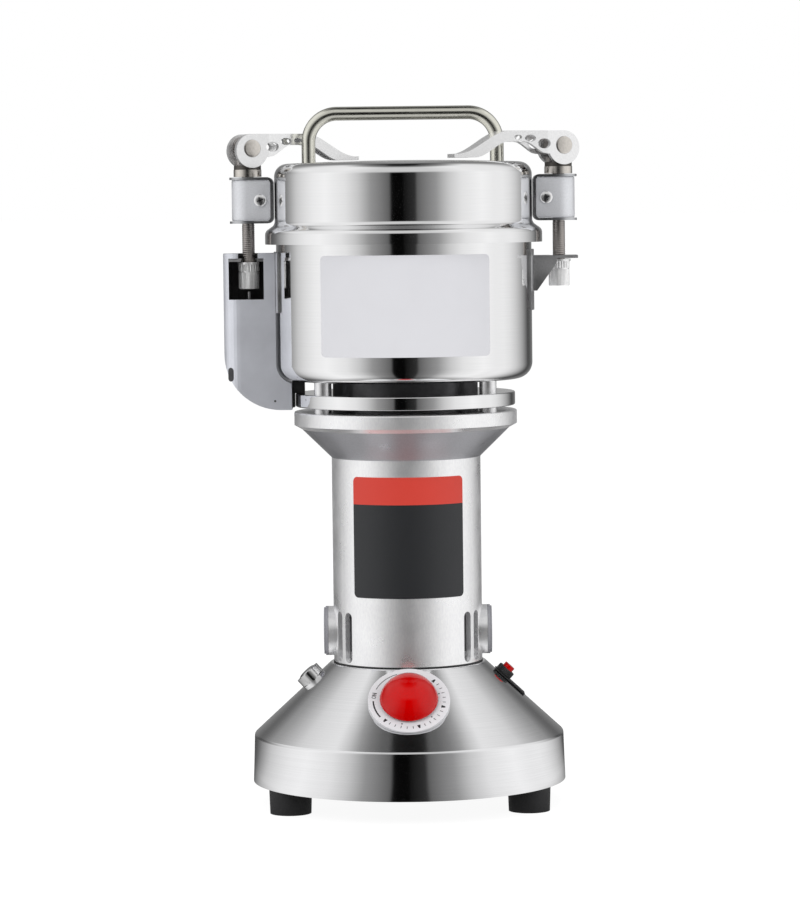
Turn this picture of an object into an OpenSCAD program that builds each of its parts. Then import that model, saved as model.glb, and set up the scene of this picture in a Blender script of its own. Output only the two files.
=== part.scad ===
// Electric grain mill: a steel jar with a clamped lid on a motor column and a conical base.
// +Z is up, +X is to the right seen from the dial side, -Y faces the dial side.
// The origin is on the mill's axis, in the plane that the feet stand on.

/* [Base] */
// Radius of the base cover at its lower edge
base_r = 80; // [74:0.5:86]
// How far the band draws in between its lower edge and the shoulder
band_draw = 0.8; // [0:0.1:3]
// Height of the lower edge above the ground
base_low = 12; // [9:0.5:16]
// Height where the band and the cone meet
shoulder_high = 36; // [30:0.5:40]
// Height of the land that carries the motor column
land_high = 72.6; // [66:0.2:80]
// Wall of the spun base cover
cover_wall = 1.2; // [0.8:0.1:2]
// Radius that rounds the shoulder
shoulder_round = 2; // [1.5:0.1:4]
// Width of the land's ring inside the motor column's outer wall
land_wide = 12; // [10:0.5:14]
// Thickness of the bottom plate
plate_wall = 2; // [1.5:0.1:3]
// Recess of the bottom plate above the lower edge
plate_recess = 1.5; // [1:0.1:3]

/* [Feet] */
// Distance of each foot's centre from the base's edge
foot_inset = 10.5; // [10:0.5:20]
// Radius of a foot at the ground
foot_r = 10.4; // [8:0.1:12]
// Radius of a foot under the cover
foot_top_r = 10.8; // [8:0.1:12]
// Number of feet
foot_count = 3; // [3:1:4]
// Radius of the screw shanks in feet and column
screw_r = 2; // [1.5:0.1:2.5]

/* [Timer dial] */
// Distance of the dial's centre from the motor column's wall
dial_out = 16.8; // [15.8:0.2:20]
// Radius of the white dial plate
dial_r = 20.5; // [18:0.5:22]
// Thickness of the dial plate
dial_wall = 1; // [0.6:0.1:1.5]
// Radius of the red knob at its foot
knob_r = 14.6; // [12:0.2:16]
// Height of the knob above the dial plate
knob_high = 12; // [9:0.5:14]
// Radius of the timer's drive shaft
timer_shaft_r = 3; // [2:0.1:4]
// Radius of the clockwork case
timer_case_r = 17; // [14:0.5:18]
// Depth of the clockwork case
timer_case_deep = 20; // [14:0.5:22]

/* [Start and reset buttons] */
// Distance of the start button from the motor column's wall
start_out = 11; // [9:0.5:18]
// Radius of the start button's bezel
start_bezel_r = 6.7; // [5.5:0.1:8]
// Height of the bezel above the cover
start_bezel_high = 4.4; // [3:0.1:6]
// Radius of the moving start button
start_button_r = 4.9; // [4:0.1:5.2]
// Travel of the start button
start_travel = 1.5; // [1:0.1:2]
// Distance of the reset button from the motor column's wall
reset_out = 10; // [8:0.5:16]
// Radius of the knurled breaker nut
breaker_nut_r = 4.65; // [4.5:0.05:6]
// Height of the breaker nut
breaker_nut_high = 3.3; // [2.5:0.1:5]
// Radius of the red reset button
reset_button_r = 2.9; // [2:0.1:3]
// Height of the reset button above its nut
reset_proud = 2.2; // [2:0.1:3]
// Travel of the reset button
reset_travel = 1.5; // [1:0.1:1.8]

/* [Cord gland] */
// Radius of the gland's cord bore
gland_bore_r = 4.1; // [3:0.1:5]
// Radius of the gland's flange
gland_flange_r = 8; // [7.5:0.1:10]
// Height of the gland's axis above the ground
gland_high = 25; // [24:0.5:27]

/* [Motor housing] */
// Radius of the motor column
column_r = 38; // [36:0.5:38]
// Wall of the motor column
column_wall = 3; // [2.5:0.1:4]
// Height where the flare starts
flare_low = 177.5; // [170:0.5:180]
// Height where the flare ends
flare_high = 192.2; // [190:0.2:194]
// Radius of the flare's upper edge
flare_r = 53; // [48:0.5:54]
// Underside of the top flange's rim
flange_low = 194.3; // [194:0.1:196]
// Thickness of the top flange
flange_wall = 6.8; // [5:0.1:9]
// Radius of the top flange
flange_r = 56.8; // [55:0.2:60]
// Height of a vent slot
vent_high = 25.6; // [16:0.2:26]
// Width of a vent slot
vent_wide = 5.6; // [3:0.1:6]
// Height of the vent slots' lower ends
vent_low = 74.2; // [74:0.1:78]
// Height of the brush axis
brush_high = 88.4; // [88:0.1:92]
// Radius of a brush cap
brush_cap_r = 12.6; // [10:0.1:12.8]

/* [Motor] */
// Radius of the motor shaft
shaft_r = 5; // [4:0.1:5.5]
// Thickness of the stator between its bore and the column's wall
stator_wall = 13.1; // [12:0.1:16]
// Air gap between armature and stator
air_gap = 0.8; // [0.5:0.1:1.5]
// Height of the lamination stack
stack_high = 50; // [40:1:52]
// Radius of the commutator as a share of the armature's
commutator_share = 0.57; // [0.5:0.01:0.62]
// Room between the cooling fan and the column's wall
fan_room = 4; // [2:0.5:10]
// Height of the cooling fan
fan_tall = 11; // [8:0.5:12]
// Number of fan blades
fan_blades = 9; // [5:1:12]

/* [Cooling stack] */
// Radius of the dark bearing housing
core_r = 37; // [34:0.5:38]
// Radius of the cooling ring
ring_r = 56; // [52:0.5:60]
// Thickness of the cooling ring
ring_wall = 6.9; // [4:0.1:7]
// Gap between the top flange and the cooling ring
ring_gap = 2.5; // [2:0.1:4]
// Distance of the standoffs from the axis
standoff_ring_r = 48; // [45:0.5:50]
// Radius of a standoff
standoff_r = 4.35; // [3.5:0.05:5]

/* [Jar] */
// Height of the jar's underside
jar_low = 217; // [216.5:0.1:218]
// Outer radius of the jar
jar_r = 65; // [62:0.5:67]
// Radius of the corner at the jar's bottom
jar_corner = 8.5; // [6:0.5:12]
// Wall of the jar
jar_wall = 1.5; // [1:0.1:2]
// Height of the jar's rim
rim_high = 290.5; // [285:0.5:291]
// How far the jar's rim turns out
rim_out = 3.4; // [2.5:0.1:3.8]
// Distance between the longest blade's tip and the jar's outside
blade_room = 13; // [7:1:25]
// Thickness of a blade
blade_wall = 2; // [1.5:0.1:2.5]

/* [Lid] */
// How far the lid's skirt stands out from the jar's wall
skirt_out = 5.5; // [5:0.1:8]
// Height of the skirt's lower edge
skirt_low = 286.3; // [284:0.1:288]
// Height where the skirt starts to draw in
skirt_high = 291; // [290:0.1:292]
// How far the lid's wall stands out from the jar's wall
lid_out = 0.5; // [-1:0.1:1]
// Height of the lid's upper edge
lid_high = 327; // [322:0.5:328]
// Radius that rounds the lid's upper edge
lid_corner = 6.5; // [4:0.5:9]
// Rise of the lid's middle over its edge
dome_rise = 1.2; // [0.5:0.1:1.4]
// Wall of the lid
lid_wall = 1.2; // [0.8:0.1:1.5]
// Radius of the two curves between skirt and wall
ogee_round = 3.4; // [2.5:0.1:4]
// Steepness of the slope between skirt and wall
ogee_slope = 55; // [45:1:65]

/* [Handle] */
// Radius of the handle's rod
rod_r = 3.5; // [3:0.1:4]
// Distance of each handle leg's middle from the lid's wall
leg_in = 17.65; // [17.5:0.05:25]
// Height of the handle's top
handle_high = 355.7; // [350:0.5:365]
// Radius of the handle's corners at the rod's middle
handle_corner = 14.5; // [10:0.5:18]

/* [Clamps] */
// Distance of the clamp bolts from the jar's wall
bolt_out = 14; // [13.5:0.1:15]
// Radius of the clamp bolt's shank
bolt_r = 3; // [2.5:0.1:3]
// Underside of the clamp straps
strap_low = 297; // [296.8:0.1:299]
// Top of the clamp straps
strap_high = 320.4; // [318:0.2:320.8]
// Thickness of a clamp strap
strap_wall = 1.2; // [1:0.1:1.5]
// Radius of a clamp block's round end
block_r = 8.2; // [7.5:0.1:8.5]
// Radius of the turning collar
collar_r = 7.1; // [6.5:0.1:7.5]
// Height of the steel collar
collar_high = 3.6; // [3:0.1:4]
// Height of the lever's pin
pin_high = 335; // [334:0.1:336]
// Radius of the lever's pin
pin_r = 4.4; // [3.5:0.1:4.6]
// Radius of the lever's cam ears
ear_r = 8.6; // [8:0.1:9]
// Distance of the cam's centre below the pin
cam_throw = 1.2; // [0.8:0.1:1.4]
// Width of the lever's head
head_wide = 14; // [12:0.2:14]
// Thickness of a lever cheek
cheek_wall = 2.8; // [2:0.1:3]
// Length of a lever from pin to tip
lever_long = 60; // [50:0.5:60]
// Width of a lever at its tip
tip_wide = 8.5; // [6:0.5:10]
// Angle of the closed levers to the line through both bolts
lever_yaw = 24; // [22:1:34]
// Drop of a bolt while its lever opens
bolt_drop = 1; // [0.5:0.1:1]
// Radius of a clamp nut
nut_r = 5.4; // [5:0.1:5.5]
// Height of a clamp nut's underside
nut_low = 263.8; // [262:0.2:266]
// Height of a clamp nut with its rim
nut_high = 13.6; // [11:0.2:15]

/* [Catches on the jar] */
// Underside of the catch plates
catch_low = 277.8; // [277.6:0.1:279]
// Thickness of the catch plates
catch_wall = 1.5; // [1.2:0.1:2]
// Reach of the right catch plate past its bolt's middle
catch_out = 9.2; // [7:0.2:10]
// Half depth of the catch plates
catch_y = 11; // [10:0.5:13]
// Width of a catch slot
slot_wide = 8; // [7.4:0.1:8.2]
// Thickness of the saddles on the jar
saddle_wall = 1.2; // [1:0.1:1.2]
// Half angle that a saddle covers
saddle_half = 14.5; // [12:0.5:20]

/* [Arm] */
// Distance of the arm's outer face from the left bolt's middle
arm_out = 12.9; // [12.5:0.1:16]
// Half depth of the arm
arm_y = 12; // [11.5:0.5:14]
// Underside of the arm
arm_low = 202.4; // [202:0.2:204]
// Top of the arm
arm_high = 281.9; // [281:0.1:282.2]
// Radius that rounds the arm's lower outer corner
arm_round = 29; // [20:0.5:30]
// Radius that rounds the arm's outer side in plan
arm_nose = 8.5; // [6:0.5:9]
// Reach of the arm's foot in under the jar, from the jar's wall
arm_foot_in = 7.4; // [6:0.2:7.8]
// Wall of the arm
arm_wall = 2.6; // [2:0.1:3]
// Lower edge of the arm's window
window_low = 258.6; // [256:0.2:260]

/* [Hidden] */
$fn = 72;

// Steps of a rounded corner in a turned profile
arc_steps = 8;
// Overrun of every cut past the face it opens
over = 1;
// Running clearance of turning and sliding fits
run_gap = 0.05;
// Clearance between pieces that are only placed together
place_gap = 0.1;
// Clearance between bodies that move past each other
move_gap = 0.3;

// Places that follow the base, the column, the jar and the bolts
band_r = base_r - band_draw;
foot_ring_r = base_r - foot_inset;
land_bore_r = column_r - land_wide;
dial_ring_r = column_r + dial_out;
start_ring_r = column_r + start_out;
reset_ring_r = column_r + reset_out;
armature_r = column_r - column_wall - place_gap - stator_wall - air_gap;
commutator_r = commutator_share * armature_r;
fan_r = column_r - column_wall - fan_room;
rim_r = jar_r + rim_out;
blade_r = jar_r - blade_room;
skirt_r = jar_r + skirt_out;
lid_r = jar_r + lid_out;
leg_x = lid_r - leg_in;
bolt_x = jar_r + bolt_out;
catch_x = bolt_x + catch_out;
arm_x = bolt_x + arm_out;
arm_foot_x = jar_r - arm_foot_in;

// Slope of the base cone
cone_rise = land_high - shoulder_high;
cone_run = band_r - (column_r + 1.3 * cover_wall);
cone_tilt = atan2(cone_rise, cone_run);
// Height of the cone's theoretical surface at a radius
function cone_z(r) = shoulder_high + (band_r - r) * cone_rise / cone_run;
// Height of the shoulder round's middle
shoulder_mid = shoulder_high - shoulder_round * (1 - sin(cone_tilt)) / cos(cone_tilt);
// Distance of the land round's middle from the axis
land_round = shoulder_round;
land_mid_r = band_r + (cos(cone_tilt) * (shoulder_high - land_high + land_round) - land_round)
    / sin(cone_tilt);

// Heights of the stack, from the land upwards
gasket_wall = 0.8;
column_low = land_high + gasket_wall;
flange_high = flange_low + flange_wall;
ring_low = flange_high + ring_gap;
ring_high = ring_low + ring_wall;
core_high = jar_low - gasket_wall;
plate_low = base_low + plate_recess;
plate_high = plate_low + plate_wall;
jar_floor = jar_low + jar_wall;

// Points of an arc in a profile
function arc(x, z, r, from, to, steps = arc_steps) =
    [for (i = [0:steps]) let (a = from + (to - from) * i / steps) [x + r * cos(a), z + r * sin(a)]];
// Smooth step from 0 to 1 while t runs from 0 to 1
function ease(t) = let (c = min(1, max(0, t))) c * c * (3 - 2 * c);

// A solid ring round the axis
module ring(outer, inner, low, high)
    rotate_extrude() translate([inner, low]) square([outer - inner, high - low]);
// A solid disc round the axis
module disc(r, low, high) translate([0, 0, low]) cylinder(r = r, h = high - low);
// A box given by its lowest and highest corners
module block(a, b) translate(a) cube(b - a);
// Copies round the axis at the given angles
module around(angles, r = 0) for (a = angles) rotate([0, 0, a]) translate([r, 0, 0]) children();
// A place on the base cone, with +Z along its outward normal and +X downhill
module on_cone(angle, r)
    rotate([0, 0, angle]) translate([r, 0, cone_z(r)]) rotate([0, cone_tilt, 0]) children();
// Both clamp places: the right one and, turned half round, the left one
module both_clamps() for (a = [0, 180]) rotate([0, 0, a]) children();

// Path of the base cover, drawn in by t
function cover_path(t) = concat(
    [[base_r - t, base_low]],
    arc(band_r - shoulder_round, shoulder_mid, shoulder_round - t, 0, 90 - cone_tilt),
    arc(land_mid_r, land_high - land_round, land_round - t, 90 - cone_tilt, 90),
    [[land_bore_r, land_high - t]]);
// Points in the opposite order
function back(points) = [for (i = [len(points) - 1:-1:0]) points[i]];

// Gap under a flat piece of radius r that lies on the cone at ring radius at
function cone_sag(r, at) = r * r * sin(cone_tilt) / (2 * at);

// Timer: places along the dial's axis
knob_gap = 1.15;
knob_foot = dial_wall + knob_gap;
shaft_deep = 6;
case_top = -cover_wall - cone_sag(timer_case_r, dial_ring_r) - 3 * place_gap;
knob_side_high = 0.22 * knob_high;
// Start switch: neck, nut and body under the cover
start_neck_r = start_button_r + 1;
start_neck_deep = 14;
start_deep = 20;
start_nut_lip = 2.6;
start_nut_r = start_neck_r + start_nut_lip;
start_nut_high = 3;
start_proud = 1.1;
start_skirt = 6;
// Breaker: neck and body under the cover
breaker_nut_wall = 0.75;
breaker_neck_r = breaker_nut_r - breaker_nut_wall;
breaker_deep = 24;
breaker_half = 7;
breaker_top = -cover_wall - cone_sag(breaker_half, reset_ring_r) - 3 * place_gap;
reset_skirt = 4;
tag_wall = 0.6;
tag_long = 15;
tag_half = 5.4;
breaker_foot = tag_wall + 2 * place_gap;
reset_low = breaker_top - reset_skirt + reset_travel + 2 * place_gap;
reset_top = breaker_foot + breaker_nut_high + reset_proud;
// Gland: neck and nut
gland_wall = 2.1;
gland_neck_r = gland_bore_r + gland_wall;
gland_flange = 2;
gland_nut = 3;
gland_out = base_r + place_gap;
gland_in = base_r - cover_wall - 1.1 * gland_nut;

// Screws that join the column to the land
column_screw_inset = 7;
column_screw_r = column_r - column_screw_inset;
column_screw_angles = [-115, -65, 65, 115];
column_foot = 3;
head_r = 1.8 * screw_r;
head_high = 1.3 * screw_r;
bracket_low = column_low + column_foot;
bracket_wall = 3;
bracket_high = bracket_low + bracket_wall;

foot_angles = [for (i = [0:foot_count - 1]) 90 + i * 360 / foot_count];
foot_neck_r = 0.76 * foot_top_r;
foot_head_low = 0.3 * plate_low;

module base_cover() color([0.80, 0.81, 0.82]) difference() {
    rotate_extrude() polygon(concat(cover_path(0), back(cover_path(cover_wall))));
    on_cone(-90, dial_ring_r) cylinder(r = timer_shaft_r + 5 * place_gap, h = 4 * cover_wall,
        center = true);
    on_cone(180, start_ring_r) cylinder(r = start_neck_r + place_gap, h = 4 * cover_wall, center = true);
    on_cone(0, reset_ring_r) cylinder(r = breaker_neck_r + place_gap, h = 4 * cover_wall, center = true);
    translate([0, base_r - 2 * cover_wall, gland_high]) rotate([-90, 0, 0])
        cylinder(r = gland_neck_r + place_gap, h = 4 * cover_wall);
    around(column_screw_angles, column_screw_r)
        disc(screw_r + place_gap, land_high - 2 * cover_wall, land_high + over);
}

module bottom_plate() color([0.55, 0.56, 0.58]) difference() {
    disc(base_r - cover_wall - 2 * place_gap, plate_low, plate_high);
    around(foot_angles, foot_ring_r) disc(screw_r + run_gap, plate_low - over, plate_high + over);
}

module feet() color([0.08, 0.08, 0.08]) around(foot_angles, foot_ring_r) difference() {
    union() {
        cylinder(r1 = foot_r, r2 = foot_top_r, h = base_low - 2 * place_gap);
        disc(foot_neck_r, base_low - over, plate_low);
    }
    disc(screw_r + run_gap, 0, plate_low + over);
    disc(head_r + run_gap, -over, foot_head_low + head_high);
}

module base_screws() color([0.62, 0.62, 0.63]) {
    around(foot_angles, foot_ring_r) {
        disc(head_r, foot_head_low, foot_head_low + head_high - run_gap);
        disc(screw_r, foot_head_low, plate_high + screw_r);
    }
    around(column_screw_angles, column_screw_r) {
        disc(head_r, land_high - cover_wall - place_gap - head_high, land_high - cover_wall - place_gap);
        disc(screw_r, land_high - cover_wall - head_high, bracket_high - place_gap);
    }
}

module dial_plate() color([0.93, 0.93, 0.92]) difference() {
    on_cone(-90, dial_ring_r) translate([0, 0, -4 * dial_wall])
        cylinder(r = dial_r, h = 5 * dial_wall);
    on_cone(-90, dial_ring_r) cylinder(r = timer_shaft_r + 5 * place_gap, h = 10 * dial_wall,
        center = true);
    translate([0, 0, shoulder_high]) cylinder(r1 = band_r + 2 * place_gap,
        r2 = band_r - cone_run + 2 * place_gap, h = cone_rise, $fn = 3 * $fn);
}

module timer_case() color([0.30, 0.30, 0.32]) on_cone(-90, dial_ring_r) difference() {
    translate([0, 0, case_top - timer_case_deep]) cylinder(r = timer_case_r, h = timer_case_deep);
    translate([0, 0, case_top - shaft_deep - place_gap])
        cylinder(r = timer_shaft_r + run_gap, h = shaft_deep + over);
}

module timer_shaft() color([0.70, 0.70, 0.72]) on_cone(-90, dial_ring_r)
    translate([0, 0, case_top - shaft_deep])
        cylinder(r = timer_shaft_r, h = shaft_deep - case_top + knob_foot + knob_side_high);

// Side and dome of the knob, from its foot to its crown
knob_path = concat(
    [[knob_r, knob_foot], [knob_r - 0.05 * knob_r, knob_foot + knob_side_high]],
    [for (i = [1:arc_steps]) let (a = 90 * i / arc_steps)
        [0.95 * knob_r * cos(a), knob_foot + knob_side_high + (knob_high - knob_side_high) * sin(a)]]);

module timer_knob() color([0.80, 0.06, 0.07]) on_cone(-90, dial_ring_r) difference() {
    rotate_extrude() polygon(concat([[0, knob_foot]], knob_path));
    translate([0, 0, knob_foot - over])
        cylinder(r = timer_shaft_r + run_gap, h = knob_side_high + over + place_gap);
}

module start_switch() color([0.85, 0.85, 0.86]) on_cone(180, start_ring_r) difference() {
    union() {
        translate([0, 0, place_gap]) cylinder(r = start_bezel_r, h = start_bezel_high - place_gap);
        translate([0, 0, -start_deep]) cylinder(r = start_neck_r, h = start_deep + start_bezel_high);
        translate([0, 0, -cover_wall - start_nut_high - 6 * place_gap])
            cylinder(r = start_nut_r, h = start_nut_high, $fn = 6);
    }
    translate([0, 0, -start_neck_deep]) cylinder(r = start_button_r + run_gap, h = 2 * start_neck_deep);
}

module start_button() color([0.88, 0.88, 0.89]) on_cone(180, start_ring_r) rotate_extrude()
    polygon(concat(
        [[0, -start_skirt], [start_button_r, -start_skirt],
            [start_button_r, start_bezel_high + 0.3 * start_proud]],
        [for (i = [1:arc_steps]) let (r = start_button_r * (1 - i / arc_steps))
            [r, start_bezel_high + start_proud * (1 - 0.7 * pow(r / start_button_r, 4))]]));

module breaker_body() color([0.12, 0.12, 0.13]) on_cone(0, reset_ring_r) difference() {
    union() {
        translate([0, 0, breaker_top - breaker_deep])
            block([-breaker_half, -breaker_half, 0], [breaker_half, breaker_half, breaker_deep]);
        translate([0, 0, breaker_top - over])
            cylinder(r = breaker_neck_r, h = breaker_foot + breaker_nut_high - breaker_top + over);
    }
    translate([0, 0, breaker_top - reset_skirt])
        cylinder(r = reset_button_r + run_gap, h = breaker_deep);
}

module breaker_nut() color([0.07, 0.07, 0.07]) on_cone(0, reset_ring_r)
    ring(breaker_nut_r, breaker_neck_r + run_gap, breaker_foot, breaker_foot + breaker_nut_high);

module reset_button() color([0.78, 0.08, 0.08]) on_cone(0, reset_ring_r)
    translate([0, 0, reset_low]) cylinder(r = reset_button_r, h = reset_top - reset_low);

module tag_plate() color([0.05, 0.05, 0.05]) on_cone(0, reset_ring_r) difference() {
    block([-breaker_nut_r - place_gap, -tag_half, place_gap], [tag_long, tag_half, tag_wall + place_gap]);
    cylinder(r = breaker_neck_r + place_gap, h = 4 * tag_wall, center = true);
}

module cord_gland() color([0.06, 0.06, 0.06]) translate([0, 0, gland_high]) rotate([-90, 0, 0])
    rotate_extrude() polygon([
        [gland_bore_r, gland_in - gland_nut], [gland_flange_r, gland_in - gland_nut],
            [gland_flange_r, gland_in],
        [gland_neck_r, gland_in], [gland_neck_r, gland_out], [gland_flange_r, gland_out],
        [gland_flange_r, gland_out + gland_flange], [gland_bore_r, gland_out + gland_flange]]);

module gaskets() color([0.05, 0.05, 0.05]) {
    difference() {
        ring(column_r + 2 * place_gap, land_bore_r, land_high, column_low);
        around(column_screw_angles, column_screw_r)
            disc(screw_r + place_gap, land_high - over, column_low + over);
    }
    ring(core_r + 2 * place_gap, core_bore_r, core_high, jar_low);
}

// Motor: heights from the bottom bearing upwards
core_bore_r = 14;
journal_r = 0.6 * shaft_r;
spindle_r = 0.8 * shaft_r;
seat_gap = 0.02;
lower_bearing_r = 9.5;
air_hole_r = 5.5;
bearing_wall = 8;
upper_bearing_r = 13;
hub_wall = 2.5;
lower_bearing_high = bracket_high + place_gap;
lower_bearing_low = lower_bearing_high - 0.7 * bearing_wall;
commutator_low = lower_bearing_high + 8 * place_gap;
commutator_high = 2 * brush_high - commutator_low;
stack_rise = 23.6;
stack_low = brush_high + stack_rise;
stack_top = stack_low + stack_high;
coil_r = 4.2;
coil_ring_r = armature_r + air_gap + 1.6 * coil_r;
winding_r = 0.78 * armature_r;
winding_high = 8;
fan_low = stack_top + 2.4 * coil_r;
fan_high = fan_low + fan_tall;
fan_wall = 1.5;
fan_hub_r = 9;
bearing_cover = 2.4;
bearing_top = flange_high - bearing_cover;
bearing_low = bearing_top - bearing_wall;
bearing_lip = 1;
hub_low = bearing_low - bearing_lip;
blade_rise = 2.7;
blade_seat = jar_floor + blade_rise;
stud_r = 2.4;
stud_deep = 5;
standoff_angles = [-30, -150, 90];
edge_round = 0.8;
// Brushes and their bosses
boss_proud = 2.6;
boss_face = column_r + boss_proud;
cap_wall = 2.2;
holder_r = 7.9;
brush_tip = commutator_r + move_gap;
brush_reach = 2;
brush_half_y = 2.8;
brush_half_z = 3.5;
brush_long = 18.6;
brush_end = brush_tip + brush_long;
vent_angles = [for (s = [-1, 1], f = [-90, 90], a = [52.5, 65.5]) f + s * a];

// Inner points of the flared wall
housing_path = [
    [column_r, column_low], [column_r, flare_low], [flare_r, flare_high],
    [flare_r - 1.5 * column_wall, flare_high],
    [column_r - column_wall, flare_low + 0.4 * column_wall], [column_r - column_wall, bracket_low],
    [land_bore_r, bracket_low], [land_bore_r, column_low]];

// A box along +X with round ends, for one vent slot
module vent() translate([0, 0, vent_low + vent_wide / 2]) {
    block([column_r - 2 * column_wall, -vent_wide / 2, 0],
        [column_r + over, vent_wide / 2, vent_high - vent_wide]);
    for (z = [0, vent_high - vent_wide]) translate([column_r - 2 * column_wall, 0, z]) rotate([0, 90, 0])
        cylinder(r = vent_wide / 2, h = 2 * column_wall + over);
}

module motor_housing() color([0.74, 0.75, 0.77]) difference() {
    union() {
        rotate_extrude() polygon(housing_path);
        around([0, 180]) translate([column_r - 0.9 * column_wall, 0, brush_high]) rotate([0, 90, 0])
            cylinder(r = brush_cap_r, h = boss_face - column_r + 0.9 * column_wall);
    }
    around([0, 180]) translate([column_r - 2 * column_wall, 0, brush_high]) rotate([0, 90, 0])
        cylinder(r = holder_r + place_gap, h = 4 * column_wall);
    around(vent_angles) vent();
    around(column_screw_angles, column_screw_r)
        disc(screw_r + run_gap, column_low - over, bracket_low + over);
}

module brush_holders() color([0.75, 0.62, 0.30]) around([0, 180]) difference() {
    translate([brush_tip + brush_reach, 0, brush_high]) rotate([0, 90, 0])
        cylinder(r = holder_r, h = boss_face - brush_tip - brush_reach);
    translate([0, 0, brush_high]) block(
        [0, -brush_half_y - place_gap, -brush_half_z - place_gap],
        [boss_face + over, brush_half_y + place_gap, brush_half_z + place_gap]);
}

module carbon_brushes() color([0.15, 0.15, 0.16]) around([0, 180]) translate([0, 0, brush_high])
    block([brush_tip, -brush_half_y, -brush_half_z], [brush_end, brush_half_y, brush_half_z]);

module brush_caps() color([0.80, 0.81, 0.82]) around([0, 180]) difference() {
    translate([0, 0, brush_high]) rotate([0, 90, 0]) union() {
        disc(brush_cap_r - 0.3 * cap_wall, boss_face + place_gap, boss_face + place_gap + cap_wall);
        disc(brush_cap_r, boss_face + place_gap, boss_face + place_gap + 0.6 * cap_wall);
        disc(0.9 * brush_half_y, brush_end + place_gap, boss_face + over);
    }
    translate([boss_face + 0.7 * cap_wall, 0, brush_high])
        block([0, -0.7 * brush_cap_r, -0.4 * cap_wall], [cap_wall, 0.7 * brush_cap_r, 0.4 * cap_wall]);
}

module lower_bracket() color([0.70, 0.71, 0.72]) difference() {
    union() {
        disc(column_r - column_wall - place_gap, bracket_low, bracket_high);
        disc(lower_bearing_r + hub_wall, lower_bearing_low - hub_wall, bracket_high);
    }
    disc(lower_bearing_r + seat_gap, lower_bearing_low, bracket_high + over);
    around([45:90:315], (column_screw_r + lower_bearing_r) / 2 + hub_wall)
        disc(air_hole_r, bracket_low - over, bracket_high + over);
    around(column_screw_angles, column_screw_r)
        disc(screw_r + run_gap, bracket_low - over, bracket_high + over);
}

module bearings() color([0.82, 0.83, 0.84]) {
    ring(lower_bearing_r, journal_r + seat_gap, lower_bearing_low, lower_bearing_high);
    ring(upper_bearing_r, shaft_r + seat_gap, bearing_low, bearing_top - seat_gap);
}

module stator_core() color([0.45, 0.46, 0.50])
    ring(column_r - column_wall - place_gap, armature_r + air_gap, stack_low, stack_top);

module field_coils() color([0.72, 0.38, 0.18])
    for (z = [stack_low - coil_r - seat_gap, stack_top + coil_r + seat_gap])
        translate([0, 0, z]) rotate_extrude() translate([coil_ring_r, 0]) circle(r = coil_r);

module rotor_shaft() color([0.70, 0.71, 0.72]) {
    disc(journal_r, lower_bearing_low + place_gap, commutator_low);
    disc(shaft_r, commutator_low - seat_gap, blade_seat);
    disc(spindle_r, blade_seat - over, blade_nut_high + spindle_end);
}

module armature() color([0.60, 0.40, 0.25]) difference() {
    union() {
        disc(armature_r, stack_low, stack_top);
        disc(winding_r, stack_low - winding_high, stack_top + winding_high);
    }
    disc(shaft_r + seat_gap, stack_low - winding_high - over, stack_top + winding_high + over);
}

module commutator() color([0.78, 0.48, 0.25])
    ring(commutator_r, shaft_r + seat_gap, commutator_low, commutator_high);

module cooling_fan() color([0.25, 0.25, 0.27]) difference() {
    union() {
        disc(fan_hub_r, fan_low, fan_high);
        disc(fan_r, fan_low, fan_low + fan_wall);
        around([for (i = [1:fan_blades]) 360 * i / fan_blades])
            block([fan_hub_r - over, -fan_wall / 2, fan_low], [fan_r - over, fan_wall / 2, fan_high]);
    }
    disc(shaft_r + seat_gap, fan_low - over, fan_high + over);
}

module top_flange() color([0.86, 0.86, 0.87]) difference() {
    rotate_extrude() polygon(concat(
        [[shaft_r + over, bearing_top], [shaft_r + over, flange_high]],
        back(arc(flange_r - edge_round, flange_high - edge_round, edge_round, 0, 90)),
        [[flange_r, flange_low], [flare_r, flare_high + seat_gap],
        [flare_r - 1.5 * column_wall, flare_high + seat_gap], [flare_r - 1.5 * column_wall, flange_low],
        [upper_bearing_r + hub_wall, flange_low], [upper_bearing_r + hub_wall, hub_low],
        [upper_bearing_r + seat_gap, hub_low], [upper_bearing_r + seat_gap, bearing_top]]));
    around(standoff_angles, standoff_ring_r)
        disc(stud_r + run_gap, flange_high - stud_deep - place_gap, flange_high + over);
}

module bearing_housing() color([0.22, 0.22, 0.23]) ring(core_r, core_bore_r, flange_high, core_high);

module cooling_ring() color([0.88, 0.88, 0.89]) difference() {
    rotate_extrude() polygon(concat(
        [[core_r + place_gap, ring_low]],
        arc(ring_r - edge_round, ring_low + edge_round, edge_round, -90, 0),
        arc(ring_r - edge_round, ring_high - edge_round, edge_round, 0, 90),
        [[core_r + place_gap, ring_high]]));
    around(standoff_angles, standoff_ring_r) disc(stud_r + run_gap, ring_low - over, ring_high + over);
}

module standoffs() color([0.90, 0.90, 0.91]) around(standoff_angles, standoff_ring_r) {
    disc(standoff_r, ring_high, jar_low);
    disc(stud_r, flange_high - stud_deep, ring_high + over);
    ring(standoff_r, stud_r + run_gap, flange_high, ring_low);
}

// Jar, blades and shaft bush
bush_r = 6.5;
bush_flange_r = 10;
bush_flange = 1.5;
bush_deep = 8;
bush_low = jar_low - bush_deep;
hub_r = 9;
blade_gap = 8;
blade_nut_r = 7;
blade_nut_low = blade_seat + 2 * blade_wall + blade_gap;
blade_nut_wall = 5;
spindle_end = 3;
blade_nut_high = blade_nut_low + blade_nut_wall;
blade_wide = 15;
blade_lift = 14;

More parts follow.
